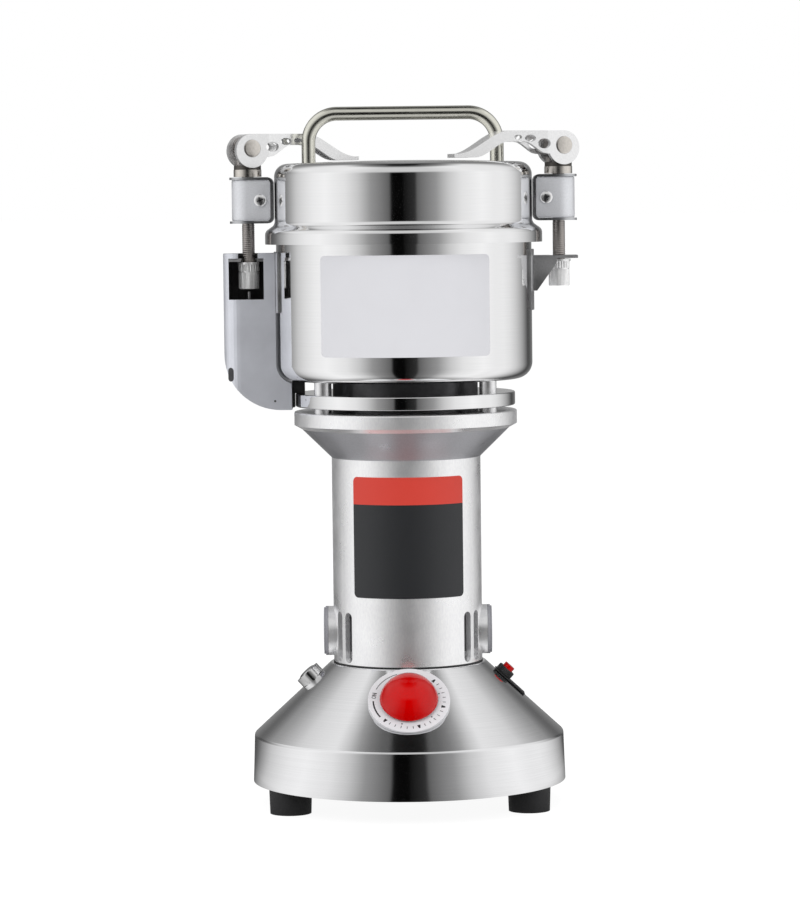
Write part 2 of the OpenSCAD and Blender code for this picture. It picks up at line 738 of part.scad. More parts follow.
module jar() color([0.86, 0.86, 0.87]) rotate_extrude() polygon(concat(
    [[bush_r + run_gap, jar_floor], [bush_r + run_gap, jar_low]],
    arc(jar_r - jar_corner, jar_low + jar_corner, jar_corner, -90, 0),
    [[jar_r, rim_high - jar_wall], [rim_r, rim_high - jar_wall], [rim_r, rim_high],
    [jar_r - jar_wall, rim_high]],
    arc(jar_r - jar_corner, jar_low + jar_corner, jar_corner - jar_wall, 0, -90)));

module shaft_bush() color([0.75, 0.60, 0.30]) union() {
    ring(bush_flange_r, shaft_r + run_gap, jar_floor, jar_floor + bush_flange);
    ring(bush_r, shaft_r + run_gap, bush_low, jar_floor + bush_flange / 2);
}

// One blade's plan, from the hub to its swept tip
module blade_plan(r) linear_extrude(blade_wall) polygon([
    [0, -blade_wide / 2], [0.7 * r, -0.36 * blade_wide], [r, 0.1 * blade_wide],
    [0.94 * r, 0.26 * blade_wide], [0.5 * r, 0.42 * blade_wide], [0, blade_wide / 2]]);

module lower_blade() color([0.78, 0.79, 0.80]) difference() {
    translate([0, 0, blade_seat]) union() {
        cylinder(r = hub_r, h = blade_wall);
        around([20, 200]) blade_plan(blade_r);
    }
    disc(spindle_r + seat_gap, blade_seat - over, blade_seat + blade_wall + over);
}

module upper_blade() color([0.78, 0.79, 0.80]) difference() {
    translate([0, 0, blade_seat + blade_wall + seat_gap]) union() {
        cylinder(r = 0.8 * hub_r, h = blade_gap);
        translate([0, 0, blade_gap - over / 2]) cylinder(r = hub_r, h = blade_wall + over / 2);
        around([110, 290], 0.5 * hub_r) translate([0, 0, blade_gap - over]) rotate([0, -blade_lift, 0])
            blade_plan(0.8 * blade_r);
    }
    disc(spindle_r + seat_gap, blade_seat, blade_nut_low + blade_r);
}

module blade_nut() color([0.70, 0.70, 0.71]) difference() {
    translate([0, 0, blade_nut_low + 2 * seat_gap])
        cylinder(r = blade_nut_r, h = blade_nut_wall, $fn = 6);
    disc(spindle_r + seat_gap, blade_nut_low - over, blade_nut_high + over);
}

// Catch plates and their saddles, seen from the right side; open is the slot's open side
catch_high = catch_low + catch_wall;
saddle_drop = 26;
saddle_rise = 3.2;
saddle_low = catch_low - saddle_drop;
saddle_high = catch_high + saddle_rise;
gusset_in = 1.7;
gusset_drop = 16.3;
gusset_x = bolt_x - gusset_in;
gusset_low = catch_low - gusset_drop;
slot_in = 0.4;

module saddle() intersection() {
    ring(jar_r + seat_gap + saddle_wall, jar_r + seat_gap, saddle_low, saddle_high);
    linear_extrude(rim_high) polygon([[0, 0],
        for (a = [-saddle_half, saddle_half]) 2 * jar_r * [cos(a), sin(a)]]);
}
module catch_plate(open, x, low_y, high_y) difference() {
    block([jar_r - over, low_y, catch_low], [x, high_y, catch_high]);
    disc(jar_r + seat_gap, catch_low - over, catch_high + over);
    translate([bolt_x, 0, catch_low - over]) cylinder(r = slot_wide / 2, h = catch_wall + 2 * over);
    translate([bolt_x - slot_wide / 2 - slot_in, min(0, open * 2 * catch_y), catch_low - over])
        cube([slot_wide, 2 * catch_y, catch_wall + 2 * over]);
}

module right_bracket() color([0.80, 0.80, 0.81]) union() {
    saddle();
    catch_plate(1, catch_x, -catch_y, catch_y);
    translate([0, saddle_wall - catch_y, 0]) rotate([90, 0, 0]) linear_extrude(saddle_wall) polygon([
        [jar_r + saddle_wall / 2, catch_low + over / 2], [gusset_x, catch_low + over / 2],
        [gusset_x, catch_low - 2 * saddle_wall], [jar_r + 2 * saddle_wall, gusset_low],
        [jar_r + saddle_wall / 2, gusset_low]]);
}

module left_bracket() color([0.80, 0.80, 0.81]) mirror([1, 0, 0]) union() {
    saddle();
    intersection() {
        catch_plate(-1, arm_x - arm_wall - move_gap, move_gap - arm_y + arm_wall / 2,
            arm_y - arm_wall - move_gap);
        union() {
            linear_extrude(arm_high) arm_plan(arm_wall + move_gap);
            block([0, -arm_y, catch_low - over], [window_out - move_gap, 0, catch_high + over]);
        }
    }
}

// Arm: outline, hollow and window, seen from the right side with -Y to the front
arm_gap = saddle_wall + 2 * place_gap;
window_half = 7.9;
window_in = bolt_x - window_half;
window_out = arm_x - arm_wall - 4 * place_gap;
switch_rise = 23.6;
switch_low = arm_low + switch_rise;
hollow_top = window_low - arm_wall;
plunger_r = 1.2;
plunger_travel = 2;
plunger_high = nut_low - bolt_drop - 1.3 * move_gap;
plunger_deep = 4;
plunger_low = hollow_top - plunger_deep;
switch_high = plunger_low - plunger_travel - move_gap;
notch_room = 1;
notch_wide = slot_wide + 2 * notch_room;
duct_in = 6.3;

// Plan of the arm, drawn in by t
module arm_plan(t) polygon(concat(
    [[arm_foot_x, t - arm_y]],
    arc(arm_x - arm_nose, arm_nose - arm_y, arm_nose - t, -90, 0),
    arc(arm_x - arm_nose, arm_y - arm_nose, arm_nose - t, 0, 90),
    [[arm_foot_x, arm_y - t]]));

// Space that the jar and its saddle need, up to the arm's top
module jar_room() rotate_extrude() polygon(concat(
    [[0, jar_low - arm_gap]],
    arc(jar_r - jar_corner, jar_low + jar_corner, jar_corner + arm_gap, -90, 0),
    [[jar_r + arm_gap, arm_high + over], [0, arm_high + over]]));

module arm_housing() color([0.60, 0.61, 0.64]) mirror([1, 0, 0]) difference() {
    intersection() {
        linear_extrude(arm_high) arm_plan(0);
        rotate([90, 0, 0]) linear_extrude(4 * arm_y, center = true) polygon(concat(
            [[arm_foot_x, arm_low]],
            arc(arm_x - arm_round, arm_low + arm_round, arm_round, -90, 0, 2 * arc_steps),
            [[arm_x, arm_high], [arm_foot_x, arm_high]]));
    }
    jar_room();
    intersection() {
        translate([0, 0, window_low]) linear_extrude(catch_high + place_gap - window_low)
            arm_plan(arm_wall);
        block([window_in, -arm_y, window_low], [arm_x, arm_y, arm_high]);
    }
    block([window_in, -arm_y - over, window_low], [window_out, 0, catch_high + place_gap]);
    block([jar_r, -arm_y + arm_wall / 2, catch_low - place_gap],
        [window_in + over, arm_y - arm_wall, catch_high + place_gap]);
    intersection() {
        translate([0, 0, switch_low]) linear_extrude(hollow_top - switch_low) arm_plan(arm_wall);
        block([window_in, -arm_y, switch_low], [arm_x, arm_y, hollow_top]);
    }
    translate([bolt_x, 0, hollow_top - over])
        cylinder(r = plunger_r + place_gap, h = arm_wall + 2 * over);
    translate([bolt_x, 0, catch_high]) cylinder(r = notch_wide / 2, h = arm_high);
    block([bolt_x - notch_wide / 2, -arm_y - over, catch_high],
        [bolt_x + notch_wide / 2, 0, arm_high + over]);
}

module wire_duct() color([0.05, 0.05, 0.05]) mirror([1, 0, 0]) union() {
    block([arm_foot_x - duct_in, -arm_y / 2, ring_high + place_gap],
        [arm_foot_x - place_gap, arm_y / 2, jar_low - place_gap]);
    block([ring_r + move_gap, -arm_y / 2, arm_low + over],
        [arm_foot_x - place_gap, arm_y / 2, ring_high + over]);
}

module interlock_switch() color([0.10, 0.10, 0.10]) mirror([1, 0, 0])
    block([window_in + place_gap, -arm_y / 2, switch_low + place_gap],
        [arm_x - 2 * arm_wall, arm_y / 2, switch_high]);

module interlock_plunger() color([0.75, 0.75, 0.76]) mirror([1, 0, 0]) translate([bolt_x, 0, 0]) union() {
    disc(plunger_r, plunger_low, plunger_high);
    disc(2 * plunger_r, plunger_low, plunger_low + plunger_r);
}

// Lid: heights and inner parts
ogee_side = ogee_round * (1 - cos(ogee_slope));
ogee_high = skirt_high + 2 * ogee_round * sin(ogee_slope)
    + (skirt_r - lid_r - 2 * ogee_side) / tan(ogee_slope);
dome_r = lid_r - lid_corner;
function dome_z(r) = lid_high + dome_rise * (1 - pow(r / dome_r, 2));
dome_steps = 6;
seal_high = 4;
liner_low = rim_high + seal_high;
liner_wall = 1.2;
liner_r = lid_r - lid_wall - move_gap;
lip_room = 2.5;
lip_r = jar_r - jar_wall - lip_room;
lip_drop = 7;
seal_gap = 0.2;
nut_top = dome_z(leg_x) - lid_wall - 2 * place_gap;
lid_nut_high = 5;
lid_nut_r = 6.2;

// Path of the lid, drawn in by t
function lid_path(t) = concat(
    [[skirt_r - t, skirt_low]],
    arc(skirt_r - ogee_round, skirt_high, ogee_round - t, 0, ogee_slope),
    arc(lid_r + ogee_round, ogee_high, ogee_round + t, 180 + ogee_slope, 180),
    arc(dome_r, lid_high - lid_corner, lid_corner - t, 0, 90),
    [for (i = [1:dome_steps]) let (r = dome_r * (1 - i / dome_steps)) [r, dome_z(r) - t]]);

module lid_seal() color([0.10, 0.10, 0.10])
    ring(jar_r, lip_r + place_gap, rim_high + seal_gap, liner_low - place_gap);

module lid_shell() color([0.86, 0.86, 0.87]) difference() {
    rotate_extrude() polygon(concat(lid_path(0), back(lid_path(lid_wall))));
    for (x = [-leg_x, leg_x]) translate([x, 0, 0])
        disc(rod_r + place_gap, nut_top, lid_high + 2 * dome_rise);
}

module lid_liner() color([0.84, 0.84, 0.85]) rotate_extrude() polygon([
    [0, liner_low], [lip_r - liner_wall, liner_low], [lip_r - liner_wall, liner_low - lip_drop],
    [lip_r, liner_low - lip_drop], [lip_r, liner_low], [liner_r, liner_low],
    [liner_r, liner_low + liner_wall], [0, liner_low + liner_wall]]);

// Handle: two legs, two quarter rings and a bar
bar_z = handle_high - rod_r;
module handle() color([0.82, 0.82, 0.80]) union() {
    for (s = [0, 180]) rotate([0, 0, s]) {
        translate([leg_x, 0, 0]) disc(rod_r, nut_top - lid_nut_high, bar_z - handle_corner);
        translate([leg_x - handle_corner, 0, bar_z - handle_corner]) rotate([90, 0, 0])
            rotate_extrude(angle = 90) translate([handle_corner, 0]) circle(r = rod_r);
    }
    translate([handle_corner - leg_x, 0, bar_z]) rotate([0, 90, 0])
        cylinder(r = rod_r, h = 2 * (leg_x - handle_corner));
}

module lid_nuts() color([0.70, 0.70, 0.71]) for (x = [-leg_x, leg_x]) translate([x, 0, 0]) difference() {
    translate([0, 0, nut_top - lid_nut_high]) cylinder(r = lid_nut_r, h = lid_nut_high, $fn = 6);
    disc(rod_r + run_gap, nut_top - lid_nut_high - over, nut_top + over);
}

// Clamps: straps, blocks and their screws on the lid
strap_in = lid_r + 5 * place_gap;
strap_round = 3;
strap_lip = 1.1;
block_in = strap_in + strap_wall + place_gap;
block_low = strap_low + strap_wall + place_gap;
block_high = strap_high - strap_wall - place_gap;
block_screw_in = 6.5;
block_screw_x = bolt_x - block_screw_in;
block_screw_r = 3.3;
block_screw_high = 1.6;

// Plan with a round end about the bolt
module clamp_plan(x, r) {
    translate([bolt_x, 0]) circle(r = r);
    translate([x, -r]) square([bolt_x - x, 2 * r]);
}

module clamp_straps() color([0.55, 0.56, 0.58]) both_clamps() difference() {
    intersection() {
        rotate([90, 0, 0]) linear_extrude(4 * block_r, center = true) polygon(concat(
            [[bolt_x + 2 * block_r, strap_low]],
            arc(strap_in + strap_round, strap_low + strap_round, strap_round, 270, 180),
            arc(strap_in + strap_round, strap_high - strap_round, strap_round, 180, 90),
            [[bolt_x + 2 * block_r, strap_high], [bolt_x + 2 * block_r, strap_high - strap_wall]],
            arc(strap_in + strap_round, strap_high - strap_round, strap_round - strap_wall, 90, 180),
            arc(strap_in + strap_round, strap_low + strap_round, strap_round - strap_wall, 180, 270),
            [[bolt_x + 2 * block_r, strap_low + strap_wall]]));
        linear_extrude(2 * strap_high) clamp_plan(strap_in, block_r + strap_lip);
    }
    translate([bolt_x, 0, 0]) disc(bolt_r + 2 * run_gap, strap_low - over, strap_high + over);
}

module clamp_blocks() color([0.50, 0.51, 0.53]) difference() {
    both_clamps() difference() {
        translate([0, 0, block_low]) linear_extrude(block_high - block_low)
            clamp_plan(block_in + strap_round - strap_wall, block_r);
        translate([bolt_x, 0, 0]) disc(bolt_r + run_gap, block_low - over, block_high + over);
    }
    for (x = [-block_screw_x, block_screw_x])
        translate([x, -block_r - over, (strap_low + strap_high) / 2])
        rotate([-90, 0, 0]) cylinder(r = 0.45 * block_screw_r + run_gap, h = 0.7 * block_r + over);
}

module block_screws() color([0.75, 0.75, 0.76]) for (x = [-block_screw_x, block_screw_x])
    translate([x, -block_r, (strap_low + strap_high) / 2]) rotate([90, 0, 0]) {
        translate([0, 0, seat_gap]) cylinder(r1 = block_screw_r, r2 = 0.7 * block_screw_r,
            h = block_screw_high);
        translate([0, 0, -0.6 * block_r])
            cylinder(r = 0.45 * block_screw_r, h = 0.6 * block_r + block_screw_high / 2);
    }

// Collars: a steel ring with a dark saddle that the cam ears press on
collar_low = strap_high + move_gap;
cam_seat_r = ear_r + cam_throw + move_gap;
cam_seat_deep = 1.6;
saddle_top = pin_high - cam_seat_r + cam_seat_deep;

module collar() translate([bolt_x, 0, 0]) difference() {
    union() {
        disc(collar_r, collar_low, collar_low + collar_high);
        disc(collar_r - 2 * place_gap, collar_low + over, saddle_top);
    }
    disc(bolt_r + run_gap, collar_low - over, saddle_top + over);
    rotate([90, 0, lever_yaw]) translate([0, pin_high, 0])
        cylinder(r = cam_seat_r, h = 4 * collar_r, center = true);
}

// Bolts: a threaded shank and an eye, with the lever's pin through it
eye_r = 6.5;
eye_wide = head_wide - 2 * cheek_wall - 8 * place_gap;
pin_long = head_wide + 6 * place_gap;

module bolt() translate([bolt_x, 0, 0]) rotate([0, 0, lever_yaw]) {
    difference() {
        union() {
            disc(bolt_r, nut_low + over, pin_high);
            translate([0, 0, pin_high]) rotate([90, 0, 0])
                cylinder(r = eye_r, h = eye_wide, center = true);
        }
        translate([0, 0, pin_high]) rotate([90, 0, 0])
            cylinder(r = pin_r + seat_gap, h = 4 * eye_r, center = true);
    }
    translate([0, 0, pin_high]) rotate([90, 0, 0]) cylinder(r = pin_r, h = pin_long, center = true);
}

// Nuts: a knurled body under a thin rim
nut_rim = 1.2;
nut_rim_lip = 0.5;
nut_rim_r = nut_r + nut_rim_lip;
module clamp_nut() translate([bolt_x, 0, 0]) difference() {
    union() {
        disc(nut_r, nut_low, nut_low + nut_high);
        disc(nut_rim_r, nut_low + nut_high - nut_rim, nut_low + nut_high);
    }
    disc(bolt_r + run_gap, nut_low - over, nut_low + nut_high + over);
}

// Levers: side outline along the arm, heights from the lid's dome upwards
arm_top = pin_high - cam_throw + ear_r;
tip_low = lid_high + dome_rise + 2 * move_gap + place_gap;
tip_high = 1.9;
mid_deep = 5.5;
tip_top = tip_low + tip_high;
mid_low = arm_top - mid_deep;
root_low = pin_high - ear_r / 2;
web_wall = 1.6;
web_start = 1.06 * ear_r;
top_shares = [0.5, 0.967];
root_shares = [0.158, 0.367];
under_shares = [0.508, 0.808];
tip_share = 0.9;
lever_steps = 24;
hole_shares = [0.185, 0.312, 0.425];
hole_drops = [6.6, 3.9, 3.4];
hole_widths = [3.5, 3, 2.2];
hole_heights = [2.5, 1.8, 1.2];

function part(u, shares) = ease((u / lever_long - shares[0]) / (shares[1] - shares[0]));
function top_z(u) = arm_top - (arm_top - tip_top) * part(u, top_shares);
function under_z(u) = root_low + (mid_low - root_low) * part(u, root_shares)
    - (mid_low - tip_low) * part(u, under_shares);
function along(from, to) = [for (i = [0:lever_steps]) from + (to - from) * i / lever_steps];

module lever_side() polygon(concat(
    [[0, root_low]], [for (u = along(0, lever_long)) [u, top_z(u)]],
    [for (u = back(along(root_shares[0] * lever_long, lever_long))) [u, under_z(u)]]));

// Plan of the lever, drawn in by t on both sides
module lever_plan(t, end) polygon([
    [-2 * ear_r, t - head_wide / 2], [web_start, t - head_wide / 2], [end, 0.6 * t - tip_wide / 2],
    [end, tip_wide / 2 - 0.6 * t], [web_start, head_wide / 2 - t], [-2 * ear_r, head_wide / 2 - t]]);

module upright(wide) rotate([90, 0, 0]) linear_extrude(wide, center = true) children();

module lever() translate([bolt_x, 0, 0]) rotate([0, 0, 180 + lever_yaw]) difference() {
    intersection() {
        union() {
            upright(head_wide) lever_side();
            translate([0, 0, pin_high - cam_throw]) rotate([90, 0, 0])
                cylinder(r = ear_r, h = head_wide, center = true);
        }
        linear_extrude(2 * pin_high) lever_plan(0, lever_long);
    }
    intersection() {
        upright(head_wide) polygon(concat(
            [[-2 * ear_r, tip_low - 4 * ear_r], [-2 * ear_r, arm_top + over],
                [web_start, arm_top + over]],
            [for (u = along(web_start, tip_share * lever_long)) [u, top_z(u) - web_wall]],
            [[tip_share * lever_long, tip_low - 4 * ear_r]]));
        linear_extrude(2 * pin_high) lever_plan(cheek_wall, tip_share * lever_long);
    }
    translate([0, 0, pin_high]) rotate([90, 0, 0])
        cylinder(r = pin_r + run_gap, h = 2 * head_wide, center = true);
    for (i = [0:len(hole_shares) - 1]) translate([hole_shares[i] * lever_long, 0,
        arm_top - hole_drops[i]])
        upright(2 * head_wide) polygon([for (a = [0:15:345]) [hole_widths[i] * cos(a),
            hole_heights[i] * sin(a)]]);
}

module collar_left() color([0.65, 0.65, 0.66]) rotate([0, 0, 180]) collar();
module bolt_left() color([0.55, 0.53, 0.48]) rotate([0, 0, 180]) bolt();
module nut_left() color([0.78, 0.78, 0.79]) rotate([0, 0, 180]) clamp_nut();
module lever_left() color([0.93, 0.93, 0.94]) rotate([0, 0, 180]) lever();
module collar_right() color([0.65, 0.65, 0.66]) collar();
module bolt_right() color([0.55, 0.53, 0.48]) bolt();
module nut_right() color([0.78, 0.78, 0.79]) clamp_nut();
module lever_right() color([0.93, 0.93, 0.94]) lever();

base_cover();
bottom_plate();
feet();
base_screws();
dial_plate();
timer_case();
timer_shaft();
timer_knob();
start_switch();
start_button();
breaker_body();
breaker_nut();
reset_button();
tag_plate();
cord_gland();
gaskets();
motor_housing();
brush_holders();
brush_caps();
carbon_brushes();
stator_core();
field_coils();
lower_bracket();
bearings();
top_flange();
rotor_shaft();
armature();
commutator();
cooling_fan();
bearing_housing();
cooling_ring();
standoffs();
jar();
shaft_bush();
lower_blade();
upper_blade();
blade_nut();
left_bracket();
right_bracket();
arm_housing();
wire_duct();
interlock_switch();
interlock_plunger();
lid_seal();
lid_shell();
lid_liner();
handle();
lid_nuts();
clamp_straps();
clamp_blocks();
block_screws();
collar_left();
bolt_left();
nut_left();
lever_left();
collar_right();
bolt_right();
nut_right();
lever_right();
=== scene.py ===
# Dresses the electric grain mill: finishes, fine turned surfaces, small details, studio and camera.
# +Z is up, -Y faces the dial side. Shapes are in millimetres, the studio in metres, angles in degrees.
import math

import bmesh
import bpy
from mathutils import Euler, Matrix, Vector


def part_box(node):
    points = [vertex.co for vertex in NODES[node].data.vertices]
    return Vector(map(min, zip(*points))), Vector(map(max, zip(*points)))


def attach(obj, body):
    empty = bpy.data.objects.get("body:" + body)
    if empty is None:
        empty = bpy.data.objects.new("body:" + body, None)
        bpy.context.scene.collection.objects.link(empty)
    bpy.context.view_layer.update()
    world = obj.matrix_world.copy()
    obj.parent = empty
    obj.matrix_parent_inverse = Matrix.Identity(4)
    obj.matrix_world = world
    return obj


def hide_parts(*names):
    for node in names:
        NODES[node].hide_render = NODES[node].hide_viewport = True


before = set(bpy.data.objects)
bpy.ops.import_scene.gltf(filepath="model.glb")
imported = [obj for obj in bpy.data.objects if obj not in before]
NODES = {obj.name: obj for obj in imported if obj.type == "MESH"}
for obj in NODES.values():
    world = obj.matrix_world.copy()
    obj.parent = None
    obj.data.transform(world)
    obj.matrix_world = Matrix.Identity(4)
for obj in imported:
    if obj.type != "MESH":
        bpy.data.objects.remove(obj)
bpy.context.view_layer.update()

MM = 0.001
# Angle of the dial side round the axis
FRONT = -90
# Edges sharper than this stay sharp, with other limits for the knob and the threads
SMOOTH_ANGLE = 32
KNOB_ANGLE = 15
THREAD_ANGLE = 60

# Sizes of the CAD model that the fine pieces follow: base and column
BAND_R = 79.2
SHOULDER_HIGH = 36
CONE_TOP_R = 39.56
CONE_RISE = 36.6
CONE_RUN = BAND_R - CONE_TOP_R
CONE_TILT = math.degrees(math.atan2(CONE_RISE, CONE_RUN))
COLUMN_R = 38
FLARE_LOW = 177.5
FLARE_HIGH = 192.2
# Dial, knob and the breaker's nut
DIAL_RING = 54.8
DIAL_R = 20.5
DIAL_WALL = 1
KNOB_R = 14.6
KNOB_HIGH = 12
KNOB_FOOT = 2.15
RESET_RING = 48
BREAKER_R = 4.65
BREAKER_FOOT = 0.8
# Jar
JAR_R = 65
JAR_Z = 217
JAR_WALL = 1.5
JAR_CORNER = 8.5
JAR_BORE = 6.55
RIM_R = 68.4
RIM_Z = 290.5
# Lid
SKIRT_R = 70.5
SKIRT_LOW = 286.3
SKIRT_HIGH = 291
OGEE_ROUND = 3.4
OGEE_SLOPE = 55
LID_R = 65.5
LID_TOP = 327
LID_CORNER = 6.5
LID_WALL = 1.2
DOME_RISE = 1.2
# Clamps: the side of the axis that each one is on, and their sizes. The collar's steel ring ends at
# COLLAR_TOP, under its dark saddle.
SIDES = ((-1, "left"), (1, "right"))
CLAMP_X = 79
BOLT_R = 3
BLOCK_R = 8.2
STRAP_IN = 66
STRAP_LOW = 297
STRAP_HIGH = 320.4
STRAP_WALL = 1.2
STRAP_ROUND = 3
SCREW_X = 72.5
NUT_R = 5.4
NUT_LOW, NUT_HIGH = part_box("nut_right")
COLLAR_TOP = 324.3
PIN_HIGH = 335
PIN_R = 4.4
PIN_HALF = 7.3
LEVER_YAW = 24
# Arm, with its window's edge towards the jar and its window's lower edge
ARM_X = 91.9
ARM_Y = 12
ARM_NOSE = 8.5
ARM_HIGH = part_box("arm_housing")[1].z / MM
WINDOW_IN = 71.1
WINDOW_LOW = 258.6
# Where most values of a noise texture lie
NOISE_LOW = 0.3
NOISE_HIGH = 0.7


# Node helpers for the finishes and the studio
def feed(tree, socket, value):
    """Gives a socket a number, or the output of another node."""
    if isinstance(value, (int, float)):
        socket.default_value = value
    else:
        tree.links.new(value, socket)


def calculate(tree, operation, *values):
    node = tree.nodes.new("ShaderNodeMath")
    node.operation = operation
    for socket, value in zip(node.inputs, values):
        feed(tree, socket, value)
    return node.outputs[0]


def mix(tree, factor, a, b):
    node = tree.nodes.new("ShaderNodeMix")
    for socket, value in zip((node.inputs[0], node.inputs[2], node.inputs[3]), (factor, a, b)):
        feed(tree, socket, value)
    return node.outputs[0]


class Shader:
    """A material's node tree with short calls for the nodes that the finishes share."""

    def __init__(self, name, color, roughness, metallic=0.0):
        self.material = bpy.data.materials.new(name)
        self.material.use_nodes = True
        self.tree = self.material.node_tree
        self.bsdf = self.tree.nodes["Principled BSDF"]
        self.bsdf.inputs["Base Color"].default_value = (*color, 1)
        self.bsdf.inputs["Roughness"].default_value = roughness
        self.bsdf.inputs["Metallic"].default_value = metallic

    def add(self, kind, **settings):
        node = self.tree.nodes.new(kind)
        for key, value in settings.items():
            setattr(node, key, value)
        return node

    def link(self, source, target):
        self.tree.links.new(source, target)

    def math(self, operation, *values):
        return calculate(self.tree, operation, *values)

    def position(self):
        return self.add("ShaderNodeTexCoord").outputs["Object"]

    def stretched(self, scale):
        """The place on the object, scaled by its own factor along each axis."""
        node = self.add("ShaderNodeMapping")
        node.inputs["Scale"].default_value = scale
        self.link(self.position(), node.inputs["Vector"])
        return node.outputs[0]

    def turned(self, across, along):
        """A place that changes fast across the turning marks and slowly along them."""
        parts = self.add("ShaderNodeSeparateXYZ")
        self.link(self.position(), parts.inputs[0])
        x, y, z = parts.outputs
        radius = self.math("SQRT", self.math("ADD", self.math("POWER", x, 2), self.math("POWER", y, 2)))
        merged = self.add("ShaderNodeCombineXYZ")
        self.link(self.math("MULTIPLY", radius, across), merged.inputs[0])
        self.link(self.math("MULTIPLY", z, across), merged.inputs[1])
        self.link(self.math("MULTIPLY", self.math("ADD", x, y), along), merged.inputs[2])
        return merged.outputs[0]

    def noise(self, vector, scale=1.0, detail=3.0):
        node = self.add("ShaderNodeTexNoise")
        node.inputs["Scale"].default_value = scale
        node.inputs["Detail"].default_value = detail
        self.link(vector, node.inputs["Vector"])
        return node.outputs["Fac"]

    def spread(self, value, low, high):
        node = self.add("ShaderNodeMapRange")
        node.inputs["From Min"].default_value = NOISE_LOW
        node.inputs["From Max"].default_value = NOISE_HIGH
        node.inputs["To Min"].default_value = low
        node.inputs["To Max"].default_value = high
        self.link(value, node.inputs["Value"])
        return node.outputs[0]

    def tint(self, value, dark, light):
        node = self.add("ShaderNodeMix", data_type="RGBA")
        node.inputs[6].default_value = (*dark, 1)
        node.inputs[7].default_value = (*light, 1)
        self.link(self.spread(value, 0, 1), node.inputs[0])
        self.link(node.outputs[2], self.bsdf.inputs["Base Color"])

    def bump(self, value, strength, depth):
        node = self.add("ShaderNodeBump")
        node.inputs["Strength"].default_value = strength
        node.inputs["Distance"].default_value = depth
        self.link(value, node.inputs["Height"])
        self.link(node.outputs[0], self.bsdf.inputs["Normal"])

    def rough(self, value, low, high):
        self.link(self.spread(value, low, high), self.bsdf.inputs["Roughness"])


def shade(color, factor):
    return tuple(min(1, c * factor) for c in color)


def turned_metal(name, color, roughness, marks, wear=0.5):
    """Polished or brushed metal with the fine ring marks of a lathe."""
    s = Shader(name, color, roughness, 1.0)
    grain = s.noise(s.turned(1 / marks, 30), detail=2)
    s.tint(grain, shade(color, 1 - 0.06 * wear), shade(color, 1 + 0.03 * wear))
    patches = s.noise(s.stretched((40, 40, 40)))
    s.rough(patches, roughness * (1 - 0.35 * wear), roughness * (1 + 0.35 * wear))
    s.bump(grain, 0.12 * wear, 0.02 * MM)
    return s.material


def plain_metal(name, color, roughness, grain_scale=(900, 900, 900), relief=0.1):
    """Metal with an even fine grain, stretched where the scale says so."""
    s = Shader(name, color, roughness, 1.0)
    grain = s.noise(s.stretched(grain_scale), detail=3)
    s.tint(grain, shade(color, 0.93), shade(color, 1.04))
    s.rough(s.noise(s.stretched((70, 70, 70))), roughness * 0.75, roughness * 1.25)
    s.bump(grain, relief, 0.03 * MM)
    return s.material


def plastic(name, color, roughness, relief=0.1, grain=1500, tones=0.07):
    """Moulded plastic or paint with a fine skin texture and slight unevenness of gloss."""
    s = Shader(name, color, roughness)
    skin = s.noise(s.stretched((grain, grain, grain)), detail=2)
    s.tint(s.noise(s.stretched((60, 60, 60))), shade(color, 1 - tones), shade(color, 1 + tones))
    s.rough(skin, roughness * 0.85, roughness * 1.15)
    s.bump(skin, relief, 0.03 * MM)
    return s.material


POLISHED = turned_metal("steel_polished", (0.95, 0.95, 0.955), 0.08, 0.25 * MM, 0.4)
BRUSHED = turned_metal("steel_brushed", (0.93, 0.93, 0.94), 0.09, 0.3 * MM, 0.6)
SATIN = plain_metal("column_satin", (0.985, 0.985, 1.0), 0.33, (1400, 1400, 500), 0.03)
# Painted shade: a darker copy of the column's satin for the faces that look down under the flare
FLARE_SHADE = plain_metal("flare_painted_shade", (0.5, 0.5, 0.525), 0.33, (1400, 1400, 500), 0.03)
PLAIN = plain_metal("steel_plain", (0.66, 0.66, 0.67), 0.24)
STRAP = plain_metal("strap_steel", (0.62, 0.63, 0.65), 0.3)
BLOCK = plain_metal("block_satin", (0.74, 0.75, 0.78), 0.42, (1600, 1600, 1600), 0.1)
CAP = plain_metal("cap_satin", (0.37, 0.37, 0.40), 0.6, (1600, 1600, 1600), 0.1)
# Painted shade: grey sheets behind the column's vent slots
VENT_SHADE = plain_metal("vent_shade_grey", (0.28, 0.28, 0.29), 0.5, (1600, 1600, 1600), 0.1)
BRIGHT = plain_metal("screw_bright", (0.93, 0.93, 0.93), 0.2)
NUT_STEEL = plain_metal("nut_steel", (0.94, 0.94, 0.94), 0.2)
SATIN_LIGHT = plain_metal("bracket_satin", (0.84, 0.84, 0.85), 0.36)
SADDLE = plain_metal("saddle_dark", (0.14, 0.13, 0.12), 0.4)
LEVER = plain_metal("lever_chrome", (0.96, 0.96, 0.965), 0.18, (2500, 2500, 2500), 0.02)
CHROME = plain_metal("chrome", (0.88, 0.88, 0.88), 0.07, (400, 400, 400), 0.02)
HANDLE = plain_metal("handle_polished", (0.86, 0.85, 0.76), 0.2, (200, 1500, 1500), 0.04)
PIN = plain_metal("pin_steel", (0.76, 0.72, 0.67), 0.22)
BOLT = plain_metal("bolt_steel", (0.42, 0.39, 0.37), 0.3)
ALUMINIUM = plain_metal("aluminium", (0.80, 0.80, 0.81), 0.25)
